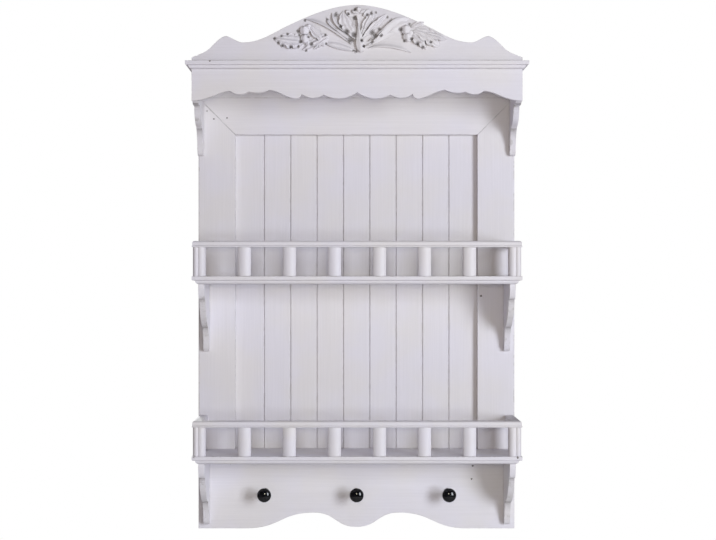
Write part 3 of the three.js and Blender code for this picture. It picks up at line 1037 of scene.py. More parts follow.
@dataclass
class Rail:
    """A gallery rail's section: a bead below a plain face, and a rounded top.

    Each point is an inset from the outer face and a height.
    """

    face: float = 1.2 * MM
    bead: float = 3.6 * MM
    quirk: float = 0.5 * MM
    rounding: float = 5 * MM

    def outer(self, height: float) -> list[Vector]:
        """Draw the outer half of the section, from the foot up.

        Args:
            height: The rail's height.

        Returns:
            Points that each hold an inset and a height.
        """
        edge = Outline((self.face, 0), steps=8)
        edge.curve((-self.face, self.bead / 2), (self.face, self.bead))
        edge.line((self.face + self.quirk, self.bead), (self.face + self.quirk, self.bead + self.quirk))
        edge.line((self.face, self.bead + 2 * self.quirk), (self.face, height - self.rounding))
        edge.curve((self.face, height), (self.face + self.rounding, height))
        return edge.points

    def section(self, depth: float, height: float) -> list[Vector]:
        """Draw the whole section.

        Args:
            depth: The rail's depth.
            height: Its height.

        Returns:
            Points that each hold an inset and a height.
        """
        small = self.rounding / 2
        edge = Outline((depth - small, height), steps=4)
        edge.curve((depth, height), (depth, height - small)).line((depth, 0))
        return [*self.outer(height), *edge.points]

    def front(self, place: Place, depth: float) -> Workpiece:
        """Make a front rail, whose section returns at both ends.

        Args:
            place: The space that the rail takes up.
            depth: The rail's depth.

        Returns:
            The rail.
        """
        foot, height = place.low.z, place.size.z
        section = [(place.low.y + point.x, foot + point.y) for point in self.section(depth, height)]
        edge = [(point.x, foot + point.y) for point in self.outer(height)]
        above = (self.face + self.rounding, place.high.z + OVERRUN)
        return Workpiece.returned(place, section, [(self.face, foot - OVERRUN), *edge, above])

    def side(self, place: Place, side: int) -> Workpiece:
        """Make a side rail.

        Args:
            place: The space that the rail takes up.
            side: -1 for a left one and 1 for a right one.

        Returns:
            The rail.
        """
        outer, points = place.flank(side), self.section(place.size.x, place.size.z)
        section = [(outer - side * point.x, place.low.z + point.y) for point in points]
        return Workpiece.sawn(section, Plane.FRONT, place)


@dataclass
class Gallery:
    """The low fence round a shelf: rails on balusters with bulging fronts, and beaded corner posts."""

    level: str
    rail: Rail = field(default_factory=Rail)
    front_balusters: int = 6
    baluster_width: float = 27 * MM
    front_radius: float = 20 * MM
    easing: float = 0.6 * MM
    tenon_length: float = 6 * MM
    tenon_radius: float = 4.5 * MM
    clearance: float = 0.3 * MM
    bead: float = 6.5 * MM
    lobe: float = 10 * MM

    @property
    def post_middle(self) -> float:
        """How far a corner post's tenon stands in from both outer faces of the post."""
        return self.bead + self.lobe / 2

    def build(self, shop: Workshop) -> None:
        """Make the gallery's posts, balusters and rails.

        Args:
            shop: The workshop that finishes the pieces.
        """
        for side, name in SIDES:
            post, baluster, rail = (
                f"{self.level}_{name}_{kind}" for kind in ("corner_post", "side_baluster", "rail")
            )
            shop.paint_up(self.corner_post(Place.of(post), side), post, Grain.UPRIGHT)
            shop.paint_up(self.baluster(Place.of(baluster), side * math.pi / 2), baluster, Grain.UPRIGHT)
            place = Place.of(rail)
            seat = self.sockets([Place.of(baluster).middle], place.low.z)
            shop.paint_up(self.rail.side(place, side).fitted(Fit.CUT_AWAY, *seat), rail, Grain.DEEP)
        for number in range(1, self.front_balusters + 1):
            node = f"{self.level}_front_baluster_{number}"
            shop.paint_up(self.baluster(Place.of(node), 0), node, Grain.UPRIGHT)
        node = f"{self.level}_front_rail"
        place = Place.of(node)
        rail = self.rail.front(place, place.size.y)
        seats = self.sockets(self.front_tenons(), place.low.z)
        shop.paint_up(rail.fitted(Fit.CUT_AWAY, *seats), node, Grain.ACROSS)

    def front_tenons(self) -> list[Vector]:
        """Find the tenons along the gallery's front.

        Returns:
            Their places in plan.
        """
        places = [
            Place.of(f"{self.level}_front_baluster_{number}").middle
            for number in range(1, self.front_balusters + 1)
        ]
        for side, name in SIDES:
            post = Place.of(f"{self.level}_{name}_corner_post")
            across = post.flank(side) - side * self.post_middle
            places.append(Vector((across, post.low.y + self.post_middle, 0)))
        return places

    def side_tenons(self) -> list[Vector]:
        """Find the tenons of the balusters at the sides."""
        return [Place.of(f"{self.level}_{name}_side_baluster").middle for _, name in SIDES]

    def sockets(self, places: list[Vector], face: float, way: int = 1) -> list[Workpiece]:
        """Make the cutters for sockets.

        Args:
            places: The tenons' places in plan.
            face: The height of the face that the sockets are bored into.
            way: 1 to bore upwards and -1 to bore downwards.

        Returns:
            A cutter for each tenon.
        """
        low, high = sorted((face - way * OVERRUN, face + way * (self.tenon_length + self.clearance)))
        radius = self.tenon_radius + self.clearance
        return [Workpiece.pin(radius, (place.x, place.y), low, high) for place in places]

    def baluster(self, place: Place, turn: float) -> Workpiece:
        """Make a baluster with a bulging front, a flat back and a tenon at each end.

        Args:
            place: The space that it takes up.
            turn: How far it is turned from facing the front.

        Returns:
            The baluster.
        """
        half, half_depth = self.baluster_width / 2, min(place.size.x, place.size.y) / 2
        swing = math.degrees(math.asin(half / self.front_radius))
        section = Outline((half, half_depth), steps=16).line((-half, half_depth))
        section.arc((0, self.front_radius - half_depth), self.front_radius, 270 - swing, 270 + swing)
        middle = place.middle
        turned = [Matrix.Rotation(turn, 2) @ point + middle.xy for point in section.points]
        body = Workpiece.sawn(turned, Plane.PLAN, place, -self.tenon_length).ease(self.easing)
        tenon = Workpiece.pin(self.tenon_radius, middle.xy, place.low.z, place.high.z)
        return body.fitted(Fit.JOINED, tenon)

    def corner_post(self, place: Place, side: int) -> Workpiece:
        """Make a corner post: a bead on the corner between two larger lobes.

        Args:
            place: The space that it takes up.
            side: -1 for a left one and 1 for a right one.

        Returns:
            The post.
        """
        outer = place.flank(side)
        low, high = place.low.z + self.tenon_length, place.high.z - self.tenon_length
        bead, lobe, reach = self.bead, self.lobe, self.bead + self.lobe
        pins = [
            Workpiece.pin(radius, (outer - side * across, place.low.y + deep), low, high, steps=40)
            for radius, across, deep in ((bead, bead, bead), (lobe, reach, lobe), (lobe, lobe, reach))
        ]
        centre = Vector((outer - side * self.post_middle, place.low.y + self.post_middle, 0))
        half = Vector((lobe / 2, lobe / 2, 0))
        corners = Place(centre - half, centre + half).corners(Plane.PLAN)
        core = Workpiece.sawn(corners, Plane.PLAN, place, -self.tenon_length)
        tenon = Workpiece.pin(self.tenon_radius, centre.xy, place.low.z, place.high.z)
        return pins[0].fitted(Fit.JOINED, *pins[1:], core, tenon)


@dataclass
class Shelf:
    """A shelf with a routed edge and a tongue that passes between the stiles."""

    level: str
    moulding: Moulding = field(default_factory=Moulding)
    clearance: float = 0.5 * MM

    def build(self, shop: Workshop) -> None:
        """Make the shelf, bored for its gallery.

        Args:
            shop: The workshop that finishes the pieces.
        """
        node, gallery = f"{self.level}_shelf", Gallery(self.level)
        place, stile = Place.of(node), Place.of("right_stile")
        corners = rectangle(
            (stile.low.x - self.clearance, stile.low.y),
            (stile.high.x + OVERRUN + self.clearance, place.high.y + OVERRUN),
        )
        notches = [
            Workpiece.sawn([(side * across, deep) for across, deep in corners], Plane.PLAN, place, OVERRUN)
            for side, _ in SIDES
        ]
        seats = gallery.sockets([*gallery.front_tenons(), *gallery.side_tenons()], place.high.z, way=-1)
        board = self.moulding.board(place).fitted(Fit.CUT_AWAY, *notches, *seats)
        shop.paint_up(board, node, Grain.ACROSS)


@dataclass
class PegRail:
    """The apron under the lower shelf, with a wavy foot and three turned knobs."""

    knobs: tuple[str, ...] = ("left_knob", "middle_knob", "right_knob")
    centre_rise: float = 3 * MM
    crest: Pair = (91 * MM, 34 * MM)
    shoulder: float = 238 * MM
    easing: float = 0.8 * MM
    bore: float = 5.3 * MM
    peg_radius: float = 5 * MM
    peg_length: float = 15 * MM
    foot_radius: float = 9 * MM
    foot_height: float = 3 * MM
    neck_radius: float = 5 * MM
    waist_radius: float = 4.4 * MM
    crown: float = 7.5 * MM
    shoulder_height: float = 10 * MM

    def build(self, shop: Workshop) -> None:
        """Make the rail and its knobs.

        Args:
            shop: The workshop that finishes the pieces.
        """
        rail = Place.of("peg_rail")
        board = Workpiece.sawn(self.outline(rail), Plane.FRONT, rail)
        bores = []
        for node in self.knobs:
            middle = Place.of(node).middle
            start = Vector((middle.x, rail.low.y - OVERRUN, middle.z))
            length = rail.size.y + 2 * OVERRUN
            profile = [(0, 0), (self.bore, 0), (self.bore, length), (0, length)]
            bores.append(Workpiece.turned(profile, start, Vector((0, 1, 0)), steps=24))
        shop.paint_up(board.fitted(Fit.CUT_AWAY, *bores).ease(self.easing), "peg_rail", Grain.ACROSS)
        for node in self.knobs:
            shop.hang(self.knob(Place.of(node), rail.low.y), node, shop.lacquer, Grain.DEEP, [node])

    def outline(self, rail: Place) -> list[Vector]:
        """Draw the rail with its wavy foot, from the middle to the right and then mirrored.

        Args:
            rail: The space that the rail takes up.

        Returns:
            The points of its outline.
        """
        crest, rise = self.crest
        inner, outer = crest / 2, (self.shoulder - crest) / 2
        wave = Outline((0, self.centre_rise), steps=18)
        wave.curve((inner, self.centre_rise), (inner, rise), (crest, rise))
        wave.curve((crest + outer, rise), (self.shoulder - outer, 0), (self.shoulder, 0))
        wave.line((rail.high.x, 0), (rail.high.x, rail.size.z))
        return wave.mirrored(1, rail.low.z, 1)

    def knob(self, place: Place, face: float) -> Workpiece:
        """Turn a knob: a peg, a foot, a slim neck and a flattened head.

        Args:
            place: The space that the knob takes up.
            face: The rail's front face.

        Returns:
            The knob.
        """
        radius, length = place.size.x / 2, face - place.low.y
        rim = length - self.crown
        neck_end = rim - self.shoulder_height
        profile = Outline((0, -self.peg_length), steps=9)
        profile.line((self.peg_radius, -self.peg_length), (self.peg_radius, 0), (self.foot_radius, 0))
        profile.line((self.foot_radius, self.foot_height / 2))
        profile.curve((self.foot_radius, self.foot_height), (self.neck_radius, self.foot_height * 3 / 2))
        profile.curve((self.waist_radius, (self.foot_height + neck_end) / 2), (self.neck_radius, neck_end))
        profile.curve((radius, neck_end), (radius, rim))
        crown, top = rim + QUARTER_ROUND * self.crown, QUARTER_ROUND * radius
        profile.curve((radius, crown), (top, length), (0, length))
        start = Vector((place.middle.x, face, place.middle.z))
        return Workpiece.turned(profile.points, start, Vector((0, -1, 0)), steps=56)


@dataclass(frozen=True)
class Scroll:
    """A bracket's scroll cut edge, in shares of its reach and of its height.

    Each lobe has its start, its control point and its end.
    """

    lobes: tuple[tuple[Pair, Pair, Pair], ...]
    tail: tuple[Pair, Pair]

    def outline(self, place: Place) -> list[Vector]:
        """Draw a bracket with this edge.

        Args:
            place: The space that the bracket takes up.

        Returns:
            The points of its outline, seen from its right.
        """
        sketch = Outline((0, 0), steps=12).line((1, 0))
        for start, *handles in self.lobes:
            sketch.line(start).curve(*handles)
        sketch.curve(*self.tail).line((0, 1))
        corner, spread = Vector(place.high.yz), Vector(place.size.yz)
        return [corner - point * spread for point in sketch.points]


@dataclass
class Brackets:
    """Six scroll cut brackets in pairs, with handled front edges."""

    easing: float = 0.8 * MM
    front_wear: float = 0.85
    # Strength of the painted shade under each notch, and how fast it fades downwards.
    painted_shade: float = 0.6
    fade: float = 8 * MM
    side_lean: float = 0.3
    front_lean: float = -0.2
    shelf: Scroll = Scroll(
        (
            ((1, 0.06), (0.98, 0.19), (0.9, 0.215)),
            ((0.83, 0.225), (0.8, 0.45), (0.39, 0.62)),
            ((0.3, 0.632), (0.2, 0.7), (0.15, 0.88)),
        ),
        ((0.12, 1), (0.04, 1)),
    )
    canopy: Scroll = Scroll(
        (
            ((1, 0.34), (0.98, 0.42), (0.8, 0.425)),
            ((0.675, 0.4), (0.62, 0.62), (0.34, 0.652)),
            ((0.295, 0.67), (0.17, 0.75), (0.127, 0.897)),
        ),
        ((0.11, 1), (0.042, 1)),
    )

    def build(self, shop: Workshop) -> None:
        """Make the three pairs.

        Args:
            shop: The workshop that finishes the pieces.
        """
        for level in (*LEVELS, "canopy"):
            scroll = self.canopy if level == "canopy" else self.shelf
            for _, name in SIDES:
                node = f"{level}_{name}_bracket"
                place = Place.of(node)
                bracket = Workpiece.sawn(scroll.outline(place), Plane.SIDE, place)
                bracket.ease(self.easing).worn(self.front_wear, self.is_front)
                notches = [place.high.z - lobe[0][1] * place.size.z for lobe in scroll.lobes[1:]]
                # Shade is painted on the sawn edge under each notch.
                bracket.shade_painted(lambda spot: self.painted_shade_at(spot, place, notches))
                shop.paint_up(bracket, node, Grain.UPRIGHT)

    def painted_shade_at(self, spot: Vector, place: Place, notches: list[float]) -> float:
        """Tell how much painted shade a place gets: most on the sawn edge just under a notch, and less
        further down.

        Args:
            spot: The place.
            place: The space that the bracket takes up.
            notches: The heights of the notches.

        Returns:
            The painted shade's share, which is 0 on the bracket's sides.
        """
        if min(spot.x - place.low.x, place.high.x - spot.x) < self.easing / 2:
            return 0
        drops = [notch - spot.z for notch in notches if notch > spot.z]
        return self.painted_shade * math.exp(-min(drops) / self.fade) if drops else 0

    def is_front(self, face: BMFace) -> bool:
        """Tell whether a face is part of the sawn edge that shows from the front."""
        return abs(face.normal.x) < self.side_lean and face.normal.y < self.front_lean


@dataclass
class Canopy:
    """The moulded top board and the scalloped frieze under its front edge.

    The frieze's points run from the middle to the right, as shares of its half width and height.
    """

    moulding: Moulding = field(default_factory=Moulding)
    easing: float = 0.8 * MM
    frieze_start_share: Pair = (0, 0.73)
    frieze_shares: tuple[tuple[Pair, ...], ...] = (
        ((0.102, 1.077), (0.202, 0.8)),
        ((0.272, 1.02), (0.335, 0.782)),
        ((0.354, 1.17), (0.474, 0.651), (0.531, 0.651)),
        ((0.596, 0.805), (0.654, 0.707)),
        ((0.711, 0.89), (0.766, 0.69)),
        ((0.833, 0.68), (0.877, 0.96), (1, 1)),
    )

    def build(self, shop: Workshop) -> None:
        """Make the top board and the frieze.

        Args:
            shop: The workshop that finishes the pieces.
        """
        top = Place.of("canopy_top_board")
        shop.paint_up(self.moulding.board(top), "canopy_top_board", Grain.ACROSS)
        place = Place.of("frieze_board")
        edge = Outline(self.frieze_start_share, steps=14).curves(self.frieze_shares).line((1, 0))
        outline = edge.mirrored(place.size.x / 2, place.high.z, -place.size.z)
        frieze = Workpiece.sawn(outline, Plane.FRONT, place)
        shop.paint_up(frieze.ease(self.easing), "frieze_board", Grain.ACROSS)


@dataclass(frozen=True)
class Leaf:
    """One carved leaf, petal or stem: two edges that share a foot and a tip, in millimetres.

    The shade edge is the one on the left, away from the light. Heights are those of the shade
    edge, of the ridge and of the lit edge over the board. Lobes are their number and their depth.
    """

    foot: Pair
    tip: Pair
    shade: tuple[Pair, ...]
    lit: tuple[Pair, ...]
    heights: Triple = (3.4, 4.6, 1.4)
    ridge: float = 0.3
    veins: int = 0
    vein_depth: float = 0.7
    foot_share: float = 0.6
    tip_share: float = 0.35
    lobes: Pair = (0, 0)

    @classmethod
    def petal(cls, centre: Pair, radius: float, height: float) -> "Leaf":
        """Shape a round petal.

        Args:
            centre: Its middle, in millimetres.
            radius: Half its length.
            height: Its ridge's height.

        Returns:
            The petal.
        """
        across, along = centre
        pull = radius * 4 / 3
        left = ((across - pull, along - radius), (across - pull, along + radius))
        right = ((across + pull, along - radius), (across + pull, along + radius))
        return cls(
            (across, along - radius), (across, along + radius), left, right,
            heights=(height * 0.55, height, height * 0.55), ridge=0.45, veins=1, vein_depth=0.8,
            foot_share=0.55, tip_share=0.55,
        )


# Each leaf has its foot, its tip, the control points of its shade edge and of its lit edge, its three
# heights, and then the ridge's share across, the number of veins and their depth. Places are measured
# across from the carving's middle and up from the crest's foot.
CENTRE_LEAVES = (
    Leaf(
        (0, 40), (-30, 103), ((-34, 60), (-54, 80)), ((-1, 62), (-6, 90)),
        (4.6, 4.0, 2.6), 0.25, 3, 1.4, lobes=(4, 0.3),
    ),
    Leaf(
        (-22, 56), (-54, 99), ((-44, 66), (-56, 82)), ((-32, 66), (-42, 84)),
        (4.4, 4.6, 1.2), 0.3, 1, 1.2,
    ),
    Leaf(
        (-30, 56), (-66, 91), ((-50, 62), (-66, 76)), ((-40, 64), (-58, 80)),
        (3.6, 3.8, 1.0), 0.3, 1, 1.2,
    ),
    Leaf(
        (-14, 34), (-112, 86), ((-50, 60), (-78, 80)), ((-34, 70), (-74, 98)),
        (3.8, 3.6, 0.5), 0.12, 1, 1.2,
    ),
    Leaf((-8, 40), (-52, 70), ((-24, 44), (-42, 58)), ((-22, 56), (-40, 70)), (2.6, 4.2, 1.0), 0.5, 1, 1.2),
    Leaf(
        (5, 46), (30, 103), ((5, 70), (8, 90)), ((20, 62), (48, 90)),
        (3.6, 4.2, 1.6), 0.35, 3, 1.2, lobes=(3, 0.28),
    ),
    Leaf(
        (8, 44), (58, 97), ((14, 66), (36, 86)), ((34, 62), (64, 82)),
        (4.8, 4.6, 1.4), 0.2, 2, 1.3, lobes=(3, 0.26),
    ),
    Leaf((20, 40), (70, 88), ((34, 50), (58, 70)), ((44, 50), (66, 72)), (4.4, 4.4, 1.2), 0.3, 1, 1.2),
    Leaf((14, 30), (104, 90), ((54, 50), (56, 96)), ((56, 40), (94, 62)), (4.2, 4.6, 1.2), 0.25, 1, 1.3),
    Leaf(
        (4, 18), (-3, 94), ((-14, 30), (4, 60)), ((28, 18), (0, 60)),
        (4.4, 5.4, 4.0), 0.5, 0, 0.7, 0.7, 0.8,
    ),
    Leaf.petal((0.5, 105), 6.5, 5.0),
    Leaf((2, 98), (-14, 104), ((-6, 96), (-12, 98)), ((-2, 106), (-10, 108)), (3.6, 4.4, 2.4), 0.4),
    Leaf((2, 98), (17, 104), ((4, 106), (12, 109)), ((8, 97), (15, 99)), (3.6, 4.4, 2.4), 0.4),
    Leaf((10, 92), (26, 106), ((10, 98), (18, 108)), ((16, 92), (28, 98)), (3.4, 3.8, 1.6), 0.4, 1, 1.0),
    Leaf(
        (-16, 90), (-24, 106), ((-24, 92), (-28, 102)), ((-12, 96), (-16, 106)),
        (3.4, 3.8, 1.6), 0.4, 1, 1.0,
    ),
)
LEFT_LEAVES = (
    Leaf((-2, 20), (-68, 36), ((-28, 20), (-54, 26)), ((-24, 40), (-54, 52)), (3.4, 3.2, 0.8), 0.2, 2, 0.9),
    Leaf(
        (-60, 50), (-92, 24), ((-70, 34), (-84, 22)), ((-60, 64), (-84, 60)),
        (2.6, 3.8, 1.6), 0.5, 3, 1.3, lobes=(3, 0.3),
    ),
    Leaf(
        (-72, 40), (-104, 76), ((-86, 40), (-104, 56)), ((-70, 62), (-84, 80)),
        (3.6, 3.8, 1.2), 0.45, 3, 1.2, lobes=(3, 0.24),
    ),
    Leaf(
        (-74, 44), (-116, 22), ((-84, 30), (-104, 20)), ((-88, 52), (-106, 44)),
        (3.2, 3.4, 1.0), 0.4, 2, 1.1, lobes=(2, 0.3),
    ),
    Leaf(
        (-112, 40), (-176, 48), ((-128, 12), (-158, 24)), ((-120, 68), (-148, 60)),
        (3.8, 3.4, 1.0), 0.3, 4, 1.2, lobes=(5, 0.3),
    ),
    Leaf.petal((-110.4, 63), 9.4, 5.4),
    Leaf.petal((-109.8, 45.5), 9.0, 5.4),
    Leaf.petal((-102, 70), 6.0, 4.2),
    Leaf.petal((-102.5, 36), 6.0, 4.2),
    Leaf.petal((-70, 38), 7.5, 3.4),
)
RIGHT_LEAVES = (
    Leaf((20, 26), (109, 17), ((50, 32), (78, 26)), ((52, 50), (96, 40)), (3.2, 3.4, 0.6), 0.2, 1, 1.0),
    Leaf((60, 56), (104, 80), ((68, 68), (84, 86)), ((80, 52), (104, 62)), (2.6, 3.6, 1.0), 0.4, 1, 1.2),
    Leaf(
        (106, 48), (140, 24), ((108, 40), (122, 30)), ((122, 84), (146, 62)),
        (4.4, 4.4, 1.6), 0.3, 3, 1.4, lobes=(3, 0.28),
    ),
    Leaf(
        (112, 62), (168, 30), ((126, 46), (146, 22)), ((136, 82), (172, 68)),
        (3.8, 4.0, 1.2), 0.3, 4, 1.4, lobes=(4, 0.28),
    ),
    Leaf(
        (130, 58), (182, 44), ((144, 48), (168, 36)), ((150, 68), (174, 60)),
        (3.4, 3.6, 0.8), 0.4, 3, 1.1, lobes=(3, 0.26),
    ),
    Leaf(
        (108, 70), (136, 80), ((112, 76), (128, 86)), ((116, 66), (134, 72)),
        (3.0, 3.4, 1.0), 0.4, 2, 1.0,
    ),
    Leaf.petal((98.6, 64.5), 9.8, 5.6),
    Leaf.petal((102.5, 48.5), 9.4, 5.6),
    Leaf.petal((108, 57), 6.0, 4.2),
)

# The hollows between the leaves, each with its place and its radius in millimetres. The leaves dip there,
# and the paint is darkened with painted shade.
SHADED_HOLLOWS = (
    (-173, 47, 3), (-159, 52, 2.6), (-146.7, 56.2, 2.6), (-156.8, 31.8, 3.4), (-139.7, 28.9, 3.2),
    (-124, 29.3, 2.8), (-66.7, 35.3, 2.2), (-102.9, 49.6, 2.6), (-97.5, 34.9, 3.6), (-68.4, 54.3, 2.6),
    (-16.3, 44, 6.4), (-24.6, 61, 5), (-9.1, 54.3, 5.4), (-7.9, 106.6, 3.6), (-21, 97, 2.8),
    (-45.9, 95.9, 4.6), (-64.3, 86.4, 2.8), (29.4, 58.5, 5.6), (34.1, 52, 5), (43, 66, 3.8),
    (46.7, 52, 2.6), (60.3, 90.3, 2.6), (105.4, 76.4, 2.8), (121.7, 35.7, 3.8), (133, 28.3, 3.4),
    (149.4, 38.8, 2.4), (26.7, 98.3, 2.8), (36, 100.2, 2.4), (18.4, 95.2, 2.6), (6.6, 41.9, 2.6),
    (-4.8, 19.4, 3.2), (-124.4, 61.4, 4), (-122, 54, 2.6), (-119.7, 40.1, 3.6), (86.7, 65, 4),
    (94.9, 41.4, 3.4), (90, 55, 2.4), (-110.3, 84, 3), (-10, 21.5, 2.6), (110, 45, 2.8),
    (-166, 38, 2.8), (-108, 21.5, 2.6), (-8, 89, 4.6), (-37, 71, 3), (28, 38, 3.2), (11, 30, 2.4),
)


@dataclass
class Crest:
    """The crest board with its shaped top edge, and the leaves carved on it.

    The edge runs from the crown to the right, as shares of the half width and of the height.
    """

    easing: float = 0.8 * MM
    start_share: Pair = (0, 1)
    edge_shares: tuple[tuple[Pair, ...], ...] = (
        ((0.16, 1), (0.322, 0.767), (0.439, 0.6)),
        ((0.532, 0.457), (0.599, 0.332), (0.69, 0.332)),
        ((0.725, 0.332), (0.766, 0.446), (0.792, 0.446)),
        ((0.819, 0.446), (0.857, 0.33), (0.889, 0.233)),
        ((0.915, 0.155), (0.95, 0.125), (1, 0.066)),
    )
    across: int = 12
    along: int = 30
    sunk: float = 0.5 * MM
    relief: float = 1.9
    # How deep the leaves dip in the hollows, and how strong the painted shade laid there is.
    painted_shade: float = 0.9
    # Colours and strength of the painted shade in the hollows and in the carving's crevices, the crevices'
    # reach, and the edge of the hollows' shade spots.
    hollow_shade_tone: Triple = (0.19, 0.175, 0.17)
    carving_shade_tone: Triple = (0.2, 0.185, 0.18)
    carving_shade_share: float = 0.9
    crevice: float = 8 * MM
    hollow_shade_edge: Pair = (0.3, 1.5)
    hollow_steepness: int = 4
    taper: float = 0.3

    def build(self, shop: Workshop) -> None:
        """Make the crest board and the three groups of leaves on it.

        Args:
            shop: The workshop that finishes the pieces.
        """
        place = Place.of("crest_board")
        edge = Outline(self.start_share, steps=16).curves(self.edge_shares).line((1, 0))
        outline = edge.mirrored(place.size.x / 2, place.low.z, place.size.z)
        board = Workpiece.sawn(outline, Plane.FRONT, place)
        stem = Place.of("crest_carving").middle.x
        # Spots of painted shade on the board at the hollows between the leaves.
        shade_spots = tuple(
            ChipAndShadeSpot((stem + across * MM, place.low.y, place.low.z + along * MM), reach * MM)
            for across, along, reach in SHADED_HOLLOWS
        )
        shade_painted = replace(
            shop.paint, label="crest_white_paint", bare_wood_and_shade=self.hollow_shade_tone, chip_and_shade_spots=shade_spots,
            mark_edge=self.hollow_shade_edge,
        )
        shop.hang(board.ease(self.easing), "crest_board", shade_painted, Grain.ACROSS, ["crest_board"])
        # The carving's crevices get stronger painted shade.
        carved = replace(
            shade_painted, label="carved_white_paint", crevice_shade=self.carving_shade_tone, crevice=self.crevice,
            crevice_shade_share=self.carving_shade_share,
        )
        groups = (("middle", CENTRE_LEAVES), ("left", LEFT_LEAVES), ("right", RIGHT_LEAVES))
        for name, leaves in groups:
            work = Workpiece()
            for leaf in leaves:
                self.carve(work, leaf, place)
            shop.hang(work, f"{name}_carving", carved, Grain.ACROSS, ["crest_carving"])

    def carve(self, work: Workpiece, leaf: Leaf, board: Place) -> None:
        """Carve one leaf as a closed body that rises from the board.

        Args:
            work: The group that it belongs to.
            leaf: The leaf.
            board: The space of the crest board.
        """
        edges = [
            Outline(leaf.foot, steps=self.along).curve(*handles, leaf.tip).points
            for handles in (leaf.shade, leaf.lit)
        ]
        grid = bmesh.ops.create_grid(work.mesh, x_segments=self.across, y_segments=self.along, size=0.5)
        stem = Place.of("crest_carving").middle.x
        back = board.low.y + self.sunk
        for vert in grid["verts"]:
            across, along = vert.co.x + 0.5, vert.co.y + 0.5
            number = round(along * self.along)
            spot = edges[0][number].lerp(edges[1][number], self.scalloped(leaf, across, along))
            height = self.relief * self.height(leaf, across, along) * (1 - self.painted_shade * self.hollow(spot))
            vert.co = Vector((stem + spot.x * MM, board.low.y - height * MM, board.low.z + spot.y * MM))
        faces = list({face for vert in grid["verts"] for face in vert.link_faces})
        backs = bmesh.ops.extrude_face_region(work.mesh, geom=faces, use_keep_orig=True)
        for item in backs["geom"]:
            if isinstance(item, BMVert):
                item.co.y = back
        shell = [item for item in backs["geom"] if isinstance(item, BMVert)] + grid["verts"]
        bmesh.ops.remove_doubles(work.mesh, verts=shell, dist=SEAM)
        bmesh.ops.recalc_face_normals(work.mesh, faces=work.mesh.faces)
        foot = board.low.z
        # Faces in the hollows carry painted shade.
        work.shade_painted(lambda spot: self.painted_shade * self.hollow(Vector((spot.x - stem, spot.z - foot)) / MM))

    def hollow(self, spot: Vector) -> float:
        """Tell how deep in one of the hollows a place is; this sets both the leaves' dip and the painted
        shade there.

        Args:
            spot: The place, in millimetres from the carving's middle and the crest's foot.

        Returns:
            The share of the hollow's depth, from 0 to 1.
        """
        return max(
            math.exp(-(((spot - Vector((across, along))).length / reach) ** self.hollow_steepness))
            for across, along, reach in SHADED_HOLLOWS
        )

    def scalloped(self, leaf: Leaf, across: float, along: float) -> float:
        """Draw a place across a leaf inwards where its edge is notched.

        Args:
            leaf: The leaf.
            across: The place across it, from 0 to 1.
            along: The place along it, from 0 at the foot to 1 at the tip.

        Returns:
            The new place across it.
        """
        lobes, depth = leaf.lobes
        if not lobes:
            return across
        notch = depth * math.sqrt(abs(math.sin(math.pi * lobes * along)))
        return 0.5 + (across - 0.5) * (1 - depth + notch)

    def height(self, leaf: Leaf, across: float, along: float) -> float:
        """Work out how high a leaf stands.

        Args:
            leaf: The leaf.
            across: The place across it, from 0 on the shade edge to 1 on the lit one.
            along: The place along it, from 0 at the foot to 1 at the tip.

        Returns:
            The height over the board, in millimetres.
        """
        shade, ridge, lit = leaf.heights
        if across < leaf.ridge:
            rise = self.eased(across / leaf.ridge)
            height = shade + (ridge - shade) * rise
        else:
            fall = self.eased((across - leaf.ridge) / (1 - leaf.ridge))
            height = ridge + (lit - ridge) * fall
        foot = leaf.foot_share + (1 - leaf.foot_share) * self.eased(along / self.taper)
        tip = leaf.tip_share + (1 - leaf.tip_share) * self.eased((1 - along) / self.taper)
        groove = 0.5 - 0.5 * math.cos(2 * math.pi * leaf.veins * across)
        return height * foot * tip - leaf.vein_depth * groove * math.sin(math.pi * along)

    def eased(self, share: float) -> float:
        """Ease a share in and out between 0 and 1."""
        share = min(max(share, 0), 1)
        return share * share * (3 - 2 * share)


